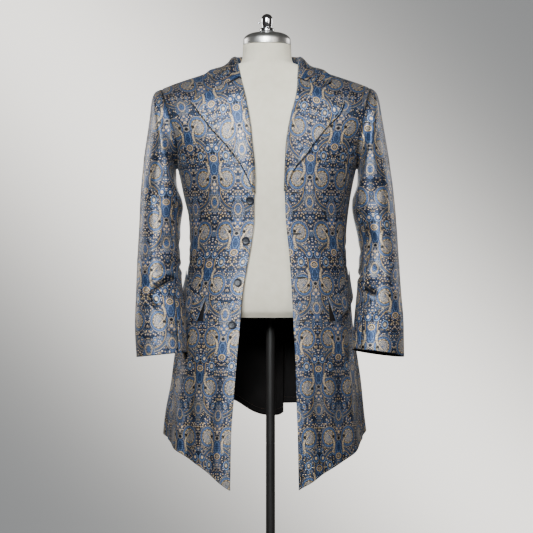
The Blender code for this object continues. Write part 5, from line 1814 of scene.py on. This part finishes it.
def stitch_tree():
    """Lays one stitch after another along each line of a mesh."""
    tree = bpy.data.node_groups.new("stitch_row", "GeometryNodeTree")
    for label, kind, value in (
            ("Lines", "Geometry", None), ("Spacing", "Float", 0.004),
            ("Stitch Length", "Float", 0.0026), ("Thread Radius", "Float", 0.0003),
            ("Seed", "Int", 3), ("Thread", "Material", None)):
        socket = tree.interface.new_socket(label, in_out="INPUT", socket_type="NodeSocket" + kind)
        if value is not None:
            socket.default_value = value
    tree.interface.new_socket("Stitches", in_out="OUTPUT", socket_type="NodeSocketGeometry")

    def add(kind, setting=None, **inputs):
        """Adds a node, sets its one mode, and fills its named or numbered inputs."""
        node = tree.nodes.new(kind)
        if setting is not None:
            setattr(node, *setting)
        for label, source in inputs.items():
            label = int(label[1:]) if label[1:].isdigit() else label.replace("_", " ")
            plug(tree, source, node.inputs[label])
        return node.outputs
    start = tree.nodes.new("NodeGroupInput").outputs
    lines = add("GeometryNodeMeshToCurve", Mesh=start["Lines"])
    places = add("GeometryNodeResampleCurve", ("mode", "LENGTH"), Curve=lines[0],
                 Length=start["Spacing"])
    bead = add("GeometryNodeMeshIcoSphere", Radius=1.0, Subdivisions=2)
    vary = add("FunctionNodeRandomValue", ("data_type", "FLOAT"), _2=0.40, _3=0.54,
               Seed=start["Seed"])
    long = add("ShaderNodeMath", ("operation", "MULTIPLY"), _0=start["Stitch Length"], _1=vary[1])
    size = add("ShaderNodeCombineXYZ", X=start["Thread Radius"], Y=start["Thread Radius"], Z=long[0])
    turn = add("FunctionNodeAlignRotationToVector", ("axis", "Z"),
               Vector=add("GeometryNodeInputTangent")[0])
    laid = add("GeometryNodeInstanceOnPoints", Points=places[0], Instance=bead[0],
               Rotation=turn[0], Scale=size[0])
    whole = add("GeometryNodeRealizeInstances", Geometry=laid[0])
    smooth = add("GeometryNodeSetShadeSmooth", Geometry=whole[0])
    dyed = add("GeometryNodeSetMaterial", Geometry=smooth[0], Material=start["Thread"])
    tree.links.new(dyed[0], tree.nodes.new("NodeGroupOutput").inputs["Stitches"])
    return tree


def sew(name, tree, lines, thread, slot, spacing, length):
    """Stitches along lines of points, as one plain mesh."""
    points = [tuple(point) for line in lines for point in line]
    edges, first = [], 0
    for line in lines:
        edges += [(first + k, first + k + 1) for k in range(len(line) - 1)]
        first += len(line)
    mesh = bpy.data.meshes.new(name)
    mesh.from_pydata(points, edges, [])
    guide = add_object(name + "_lines", mesh)
    rows = guide.modifiers.new("stitches", "NODES")
    rows.node_group = tree
    chosen = {"Spacing": spacing, "Stitch Length": length, "Thread Radius": THREAD_RADIUS,
              "Thread": thread}
    for item in tree.interface.items_tree:
        if item.name in chosen:
            rows[item.identifier] = chosen[item.name]
    graph = bpy.context.evaluated_depsgraph_get()
    sewn = bpy.data.meshes.new_from_object(guide.evaluated_get(graph))
    bpy.data.objects.remove(guide)
    declare(add_object(name, sewn))


def buttonholes(thread, satin):
    """Buttonholes on the left front: a corded edge round a dark satin sheet laid on the cloth, which
    stands in for the cut slit and the shade inside it.
    """
    for i, (z, start, length) in enumerate(zip(*BUTTONHOLES.values())):
        number, first = str(i + 1), edge_x(LEFT, z) + start

        def spot(along, over, lift):
            x, height = first + along * length, z + over
            return lifted(LEFT, front_angle(LEFT, x, height), height, lift)
        turns = [2 * math.pi * k / 24 for k in range(25)]
        ring = [spot(0.5 + 0.5 * math.cos(turn), HOLE_HALF * math.sin(turn), CORD_LIFT)
                for turn in turns]
        declare(cord_mesh("buttonhole_edge_" + number, ring, CORD_RADIUS, thread))
        # the dark sheet is painted shade where the slit would open
        sides = [[spot(mix(0.06, 0.94, k / 8), over * math.sin(math.pi * mix(0.1, 0.9, k / 8)),
                       SLIT_LIFT) for k in range(9)] for over in (-SLIT_HALF, SLIT_HALF)]
        faces = [(k, k + 1, 10 + k, 9 + k) for k in range(8)]
        slit = piece_mesh("buttonhole_slit_" + number, sides[0] + sides[1], faces, [satin])
        declare(slit)


# ---- form, stand and buttons ----

def round_corners(path):
    """Cuts each inner corner of a path twice."""
    path = [Vector(point) for point in path]
    for _ in range(2):
        cut = [path[0]]
        for a, b in zip(path, path[1:]):
            cut += [a.lerp(b, 0.25), a.lerp(b, 0.75)]
        path = cut + [path[-1]]
    return path


def ring_faces(rings, around, first=0):
    """Faces between closed rings that follow one another in a list of points."""
    faces = []
    for r in range(rings - 1):
        for k in range(around):
            a = first + r * around + k
            b = first + r * around + (k + 1) % around
            faces.append((a, b, b + around, a + around))
    return faces


def tube_mesh(name, rings, finish, places=None):
    """Tube through closed rings of points, with flat ends."""
    points = [point for ring in rings for point in ring]
    around = len(rings[0])
    faces = ring_faces(len(rings), around)
    faces += [tuple(range(around))[::-1], tuple(range(len(points) - around, len(points)))]
    return piece_mesh(name, points, faces, [finish], None, places)


def torso_skin(finish):
    """The form as a fine smooth surface on the same rings."""
    rows = np.interp(np.linspace(0, len(TORSO_ROWS) - 6, 70), range(len(TORSO_ROWS)), TORSO_ROWS)
    rings = [trunk_ring(z) for z in rows]
    rings += [neck_ring(z) for z in np.linspace(NECK_START, NECK_ROWS["z"][-1], 18)]
    first = len(rows) - 1
    for _ in range(6):
        blend = [(above + below) / 2 for above, below in zip(rings[first + 1], rings[first - 1])]
        rings[first] = [mix(old, new, 0.3) for old, new in zip(rings[first], blend)]
    places = [(math.atan2(p.x, -p.y) * FORM_WRAP, p.z) for ring in rings for p in ring]
    piece = tube_mesh("torso_cover", rings, finish, places)
    piece.data.set_sharp_from_angle(angle=math.radians(50))
    declare(piece, "torso")


def lathe(name, profile, steps, finish, sharp=40):
    """Turned piece about Z from (radius, height) points, listed from the top down."""
    rings = [pair for pair in profile if pair[0] > 0]
    turns = [2 * math.pi * k / steps for k in range(steps)]
    points = [(0, 0, profile[0][1])]
    points += [(radius * math.cos(turn), radius * math.sin(turn), height)
               for radius, height in rings for turn in turns]
    points.append((0, 0, profile[-1][1]))
    faces = [face[::-1] for face in ring_faces(len(rings), steps, 1)]
    last = len(points) - 1
    for k in range(steps):
        step = (k + 1) % steps
        faces += [(0, 1 + k, 1 + step), (last, last - steps + step, last - steps + k)]
    piece = piece_mesh(name, points, faces, [finish])
    piece.data.set_sharp_from_angle(angle=math.radians(sharp))
    return piece


def place_mesh(piece, place, turn=None):
    """Bakes a place and a turn into the mesh, so that the object stays at the origin."""
    matrix = Matrix.Translation(place)
    if turn is not None:
        matrix = matrix @ turn.to_matrix().to_4x4()
    piece.data.transform(matrix)
    piece.data.update()


def fit(node, ending, profile, steps, finish, place, turn=None, sharp=40):
    """A turned piece in the place of its solid."""
    piece = lathe(node + ending, profile, steps, finish, sharp)
    place_mesh(piece, place, turn)
    declare(piece, node)


def cap_profile():
    """Domed cap with a groove round its rim."""
    r, height, groove = NECK_RADIUS, CAP_HEIGHT, NECK_RADIUS - 0.0006
    dome = [(0.0, height), (r * 0.2, height), (r * 0.34, height)]
    for k in range(1, 25):
        turn = math.pi / 2 * k / 24
        dome.append((r * (0.35 + 0.64 * math.sin(turn) ** 0.9), height * (0.35 + 0.65 * math.cos(turn))))
    return dome + [(r, 0.0042), (r, 0.0032), (groove, 0.0028), (r, 0.0024), (r, 0.0006),
                   (groove, 0.0), (0.0, 0.0)]


def finial_profile():
    """Domed ball on a moulded foot."""
    ball = [(0.0, FINIAL_HEIGHT)]
    for k in range(1, 17):
        turn = math.pi / 2 * k / 16
        ball.append((BALL * math.sin(turn), FINIAL_HEIGHT - BALL * (1 - math.cos(turn))))
    return ball + round_corners(zip(*FINIAL_FOOT.values()))


def pole_profile():
    """Straight tube with small bevels and the line where its two lengths meet."""
    r, bevel, groove = POLE_RADIUS, 0.0008, POLE_RADIUS - 0.0004
    top, foot = FORM_BOTTOM - TOUCH, BASE_HEIGHT + TOUCH
    return [(0.0, top), (r - bevel, top), (r, top - bevel), (r, POLE_JOIN), (groove, POLE_JOIN - 0.0002),
            (groove, POLE_JOIN - 0.0017), (r, POLE_JOIN - 0.0019), (r, foot + bevel),
            (r - bevel, foot), (0.0, foot)]


def fittings(silver, chrome, black):
    cap_z = NECK_TOP + TOUCH
    finial_z = cap_z + CAP_HEIGHT + TOUCH
    screw = round_corners(zip(*SET_SCREW.values()))
    base = round_corners(zip(*BASE.values()))
    fit("neck_cap", "_metal", cap_profile(), 96, silver, (0, CAP_Y, cap_z))
    fit("finial", "_metal", finial_profile(), 72, chrome, (0, CAP_Y, finial_z), sharp=55)
    fit("set_screw", "_metal", screw, 32, chrome,
        (-BALL - TOUCH, CAP_Y, finial_z + SCREW_Z), Euler((0, -math.pi / 2, 0)), sharp=60)
    fit("pole", "_tube", pole_profile(), 64, black, (POLE_X, 0, 0))
    fit("stand_base", "_plate", base, 128, black, (POLE_X, 0, 0), sharp=60)


def hole_place(k):
    """Middle of one of a button's four holes."""
    turn = math.pi / 4 + math.pi / 2 * k
    return Vector((math.cos(turn), math.sin(turn), 0)) * HOLE_AT


def button_shape(horn):
    """Button with a rounded rim and four holes."""
    body = lathe("button_body", round_corners(zip(*BUTTON_PROFILE.values())), 64, horn, 60)
    drills = []
    for k in range(4):
        bpy.ops.mesh.primitive_cylinder_add(vertices=20, radius=HOLE_RADIUS, depth=DRILL_LENGTH,
                                            location=hole_place(k) + UP * DRILL_Z)
        drills.append(bpy.context.active_object)
    for drill in drills:
        cut = body.modifiers.new("hole", "BOOLEAN")
        cut.operation = "DIFFERENCE"
        cut.object = drill
    mesh = bpy.data.meshes.new_from_object(body.evaluated_get(bpy.context.evaluated_depsgraph_get()))
    for spent in (*drills, body):
        bpy.data.objects.remove(spent)
    mesh.set_sharp_from_angle(angle=math.radians(50))
    return mesh


def buttons(horn, thread):
    """Buttons on the right front, each sewn on with two crossing threads."""
    shape = button_shape(horn)
    for i, z in enumerate(reversed(BUTTONS["z"])):
        node = "button_" + str(i + 1)
        angle = front_angle(RIGHT, read(BUTTONS, "x", z), z)
        place = lifted(RIGHT, angle, z, read(BUTTONS, "seat", z))
        turn = UP.rotation_difference(body_normal(RIGHT, angle, z))
        piece = add_object(node + "_horn", shape.copy())
        place_mesh(piece, place, turn)
        declare(piece, node)
        for k in (0, 1):
            path = [hole_place(k) + UP * (THREAD_TOP - THREAD_DOWN), hole_place(k) + UP * THREAD_TOP,
                    UP * THREAD_TOP - hole_place(k), UP * (THREAD_TOP - THREAD_DOWN) - hole_place(k)]
            strand = cord_mesh(node + "_thread_" + str(k + 1), path, BUTTON_THREAD, thread)
            place_mesh(strand, place, turn)
            declare(strand)


def cord_mesh(name, points, radius, finish, sides=8):
    """Round thread through a few points, rounded at its bends."""
    path = round_corners(points)
    turns = [2 * math.pi * j / sides for j in range(sides)]
    rings = []
    side = Vector((0.3, 0.5, 0.8)).normalized()
    for k, point in enumerate(path):
        along = (path[min(k + 1, len(path) - 1)] - path[max(k - 1, 0)]).normalized()
        side = (side - along * side.dot(along)).normalized()
        over = along.cross(side)
        rings.append([point + (side * math.cos(turn) + over * math.sin(turn)) * radius
                      for turn in turns])
    return tube_mesh(name, rings, finish)


# ---- stage ----

CAMERA_PLACE = (-0.00115, -3.8, 1.045)
STAGE_REACH = 60.0  # half width of the floor, and how far it runs on behind the camera
FLOOR_Z = -0.0008
WALL_Y, WALL_TOP = 2.0, 4.5
BEND = 0.15  # radius of the bend between floor and wall

# Name, place, target, size, power, colour and spread of each lamp.
LAMPS = (
    ("key", (-0.48, -2.8, 2.4), (-0.03, 0, 1.38), (1.2, 1.2), 28.5, (0.93, 0.98, 1.0), 60),
    ("fill", (1.6, -2.8, 1.9), (0.2, 0, 1.25), (1.0, 1.2), 5.8, (1.0, 0.95, 0.90), 80),
    ("left_wing", (-2.2, 1.4, 1.8), (0, 0, 1.40), (0.8, 1.0), 3.4, (1.0, 0.98, 0.96), 60),
    ("right_wing", (2.2, 1.4, 1.8), (0, 0, 1.40), (0.8, 1.0), 2.2, (1.0, 0.98, 0.96), 60),
    ("rear", (0, 1.8, 1.30), (0, 0, 1.15), (1.0, 0.8), 3, (0.97, 0.985, 1.0), 120),
)


def make_paper():
    """Seamless paper that glows, with painted light brightest along one diagonal; its back is clear."""
    made, tree, shader = plain_material("studio_paper", shade(70, 70, 70), 0.9)
    x, _, z = split_place(tree, object_place(tree))
    # painted light: the paper glows brightest along the diagonal and dims away from it
    aside = (x + z - CAMERA_PLACE[2]).size()
    glow = (aside * aside * -1.45).math("EXPONENT")
    colour = paint(tree, (0.115, 0.117, 0.119), glow, (1.0, 0.965, 0.90))
    plug(tree, colour, shader.inputs["Emission Color"])
    shader.inputs["Emission Strength"].default_value = 2.15
    shader.inputs["Specular IOR Level"].default_value = 0.1
    clear = tree.nodes.new("ShaderNodeBsdfTransparent")
    back = tree.nodes.new("ShaderNodeNewGeometry")
    join_shaders(tree, back.outputs["Backfacing"], shader, clear, "Material Output")
    return made


def join_shaders(tree, share, first, second, end):
    """Ends a tree in a mix of two of its shaders."""
    join = tree.nodes.new("ShaderNodeMixShader")
    for socket, source in zip(join.inputs, (share, first.outputs[0], second.outputs[0])):
        tree.links.new(source, socket)
    tree.links.new(join.outputs[0], tree.nodes[end].inputs["Surface"])


def make_stage():
    """Floor that curves up into a wall behind."""
    profile = [(-STAGE_REACH, FLOOR_Z)]
    for k in range(13):
        turn = math.pi / 2 * k / 12
        profile.append((WALL_Y - BEND + BEND * math.sin(turn), FLOOR_Z + BEND * (1 - math.cos(turn))))
    profile.append((WALL_Y, WALL_TOP))
    points = [(x, y, z) for x in (-STAGE_REACH, STAGE_REACH) for y, z in profile]
    n = len(profile)
    faces = [(k + 1, k, n + k, n + k + 1) for k in range(n - 1)]
    paper = piece_mesh("studio_floor", points, faces, [make_paper()])
    paper.visible_diffuse = False
    paper.visible_glossy = False


def area_light(name, place, target, size, power, colour, spread):
    light = bpy.data.lights.new(name, "AREA")
    light.shape = "RECTANGLE"
    light.size, light.size_y = size
    light.energy = power
    light.color = colour
    light.spread = math.radians(spread)
    made = add_object(name, light)
    made.location = place
    made.rotation_euler = (Vector(target) - Vector(place)).to_track_quat("-Z", "Y").to_euler()
    made.visible_camera = False


def make_camera():
    camera = bpy.data.cameras.new("camera")
    camera.lens = 111.6
    camera.sensor_width = 36
    made = add_object("camera", camera)
    made.location = CAMERA_PLACE
    made.rotation_euler = (math.pi / 2, 0, 0)
    bpy.context.scene.camera = made


def light_up():
    """A dim world that the camera sees as grey, and the lamps."""
    world = bpy.data.worlds.new("studio")
    world.use_nodes = True
    tree = world.node_tree
    dim = tree.nodes["Background"]
    dim.inputs["Color"].default_value = (1.0, 0.95, 0.90, 1)
    dim.inputs["Strength"].default_value = 0.05
    pale = tree.nodes.new("ShaderNodeBackground")
    pale.inputs["Color"].default_value = (0.30, 0.30, 0.30, 1)
    path = tree.nodes.new("ShaderNodeLightPath")
    join_shaders(tree, path.outputs["Is Camera Ray"], dim, pale, "World Output")
    bpy.context.scene.world = world
    for lamp in LAMPS:
        area_light(*lamp)


def main():
    brocade, satin = make_brocade(), make_satin()
    cloth = [brocade, satin]
    edges, hems = [], []
    for side in (RIGHT, LEFT):
        edges += front_shell(side, cloth)
        side_shell(side, cloth)
        back_shell(side, cloth)
        sleeve_shells(side, cloth)
        edges += lapel_shell(side, cloth)
        flap_shells(side, cloth, satin)
        hems += lining_shell(side, satin)
    collar_shell(cloth)
    torso_skin(make_linen())
    fittings(make_metal("brushed_silver", shade(196, 195, 192), 0.34, 0.25),
             make_metal("chrome", shade(205, 206, 210), 0.12, 0.0), make_black())
    black_thread = make_thread("black_thread", shade(18, 18, 22))
    buttons(make_horn(), black_thread)
    buttonholes(black_thread, satin)
    tree = stitch_tree()
    sew("edge_stitches", tree, edges, make_thread("pale_thread", shade(206, 192, 164)), "brocade",
        *EDGE_STITCH)
    sew("lining_stitches", tree, hems, make_thread("brown_thread", shade(104, 74, 54)),
        "black_satin", *LINING_STITCH)
    make_stage()
    make_camera()
    light_up()


main()
bpy.context.view_layer.update()
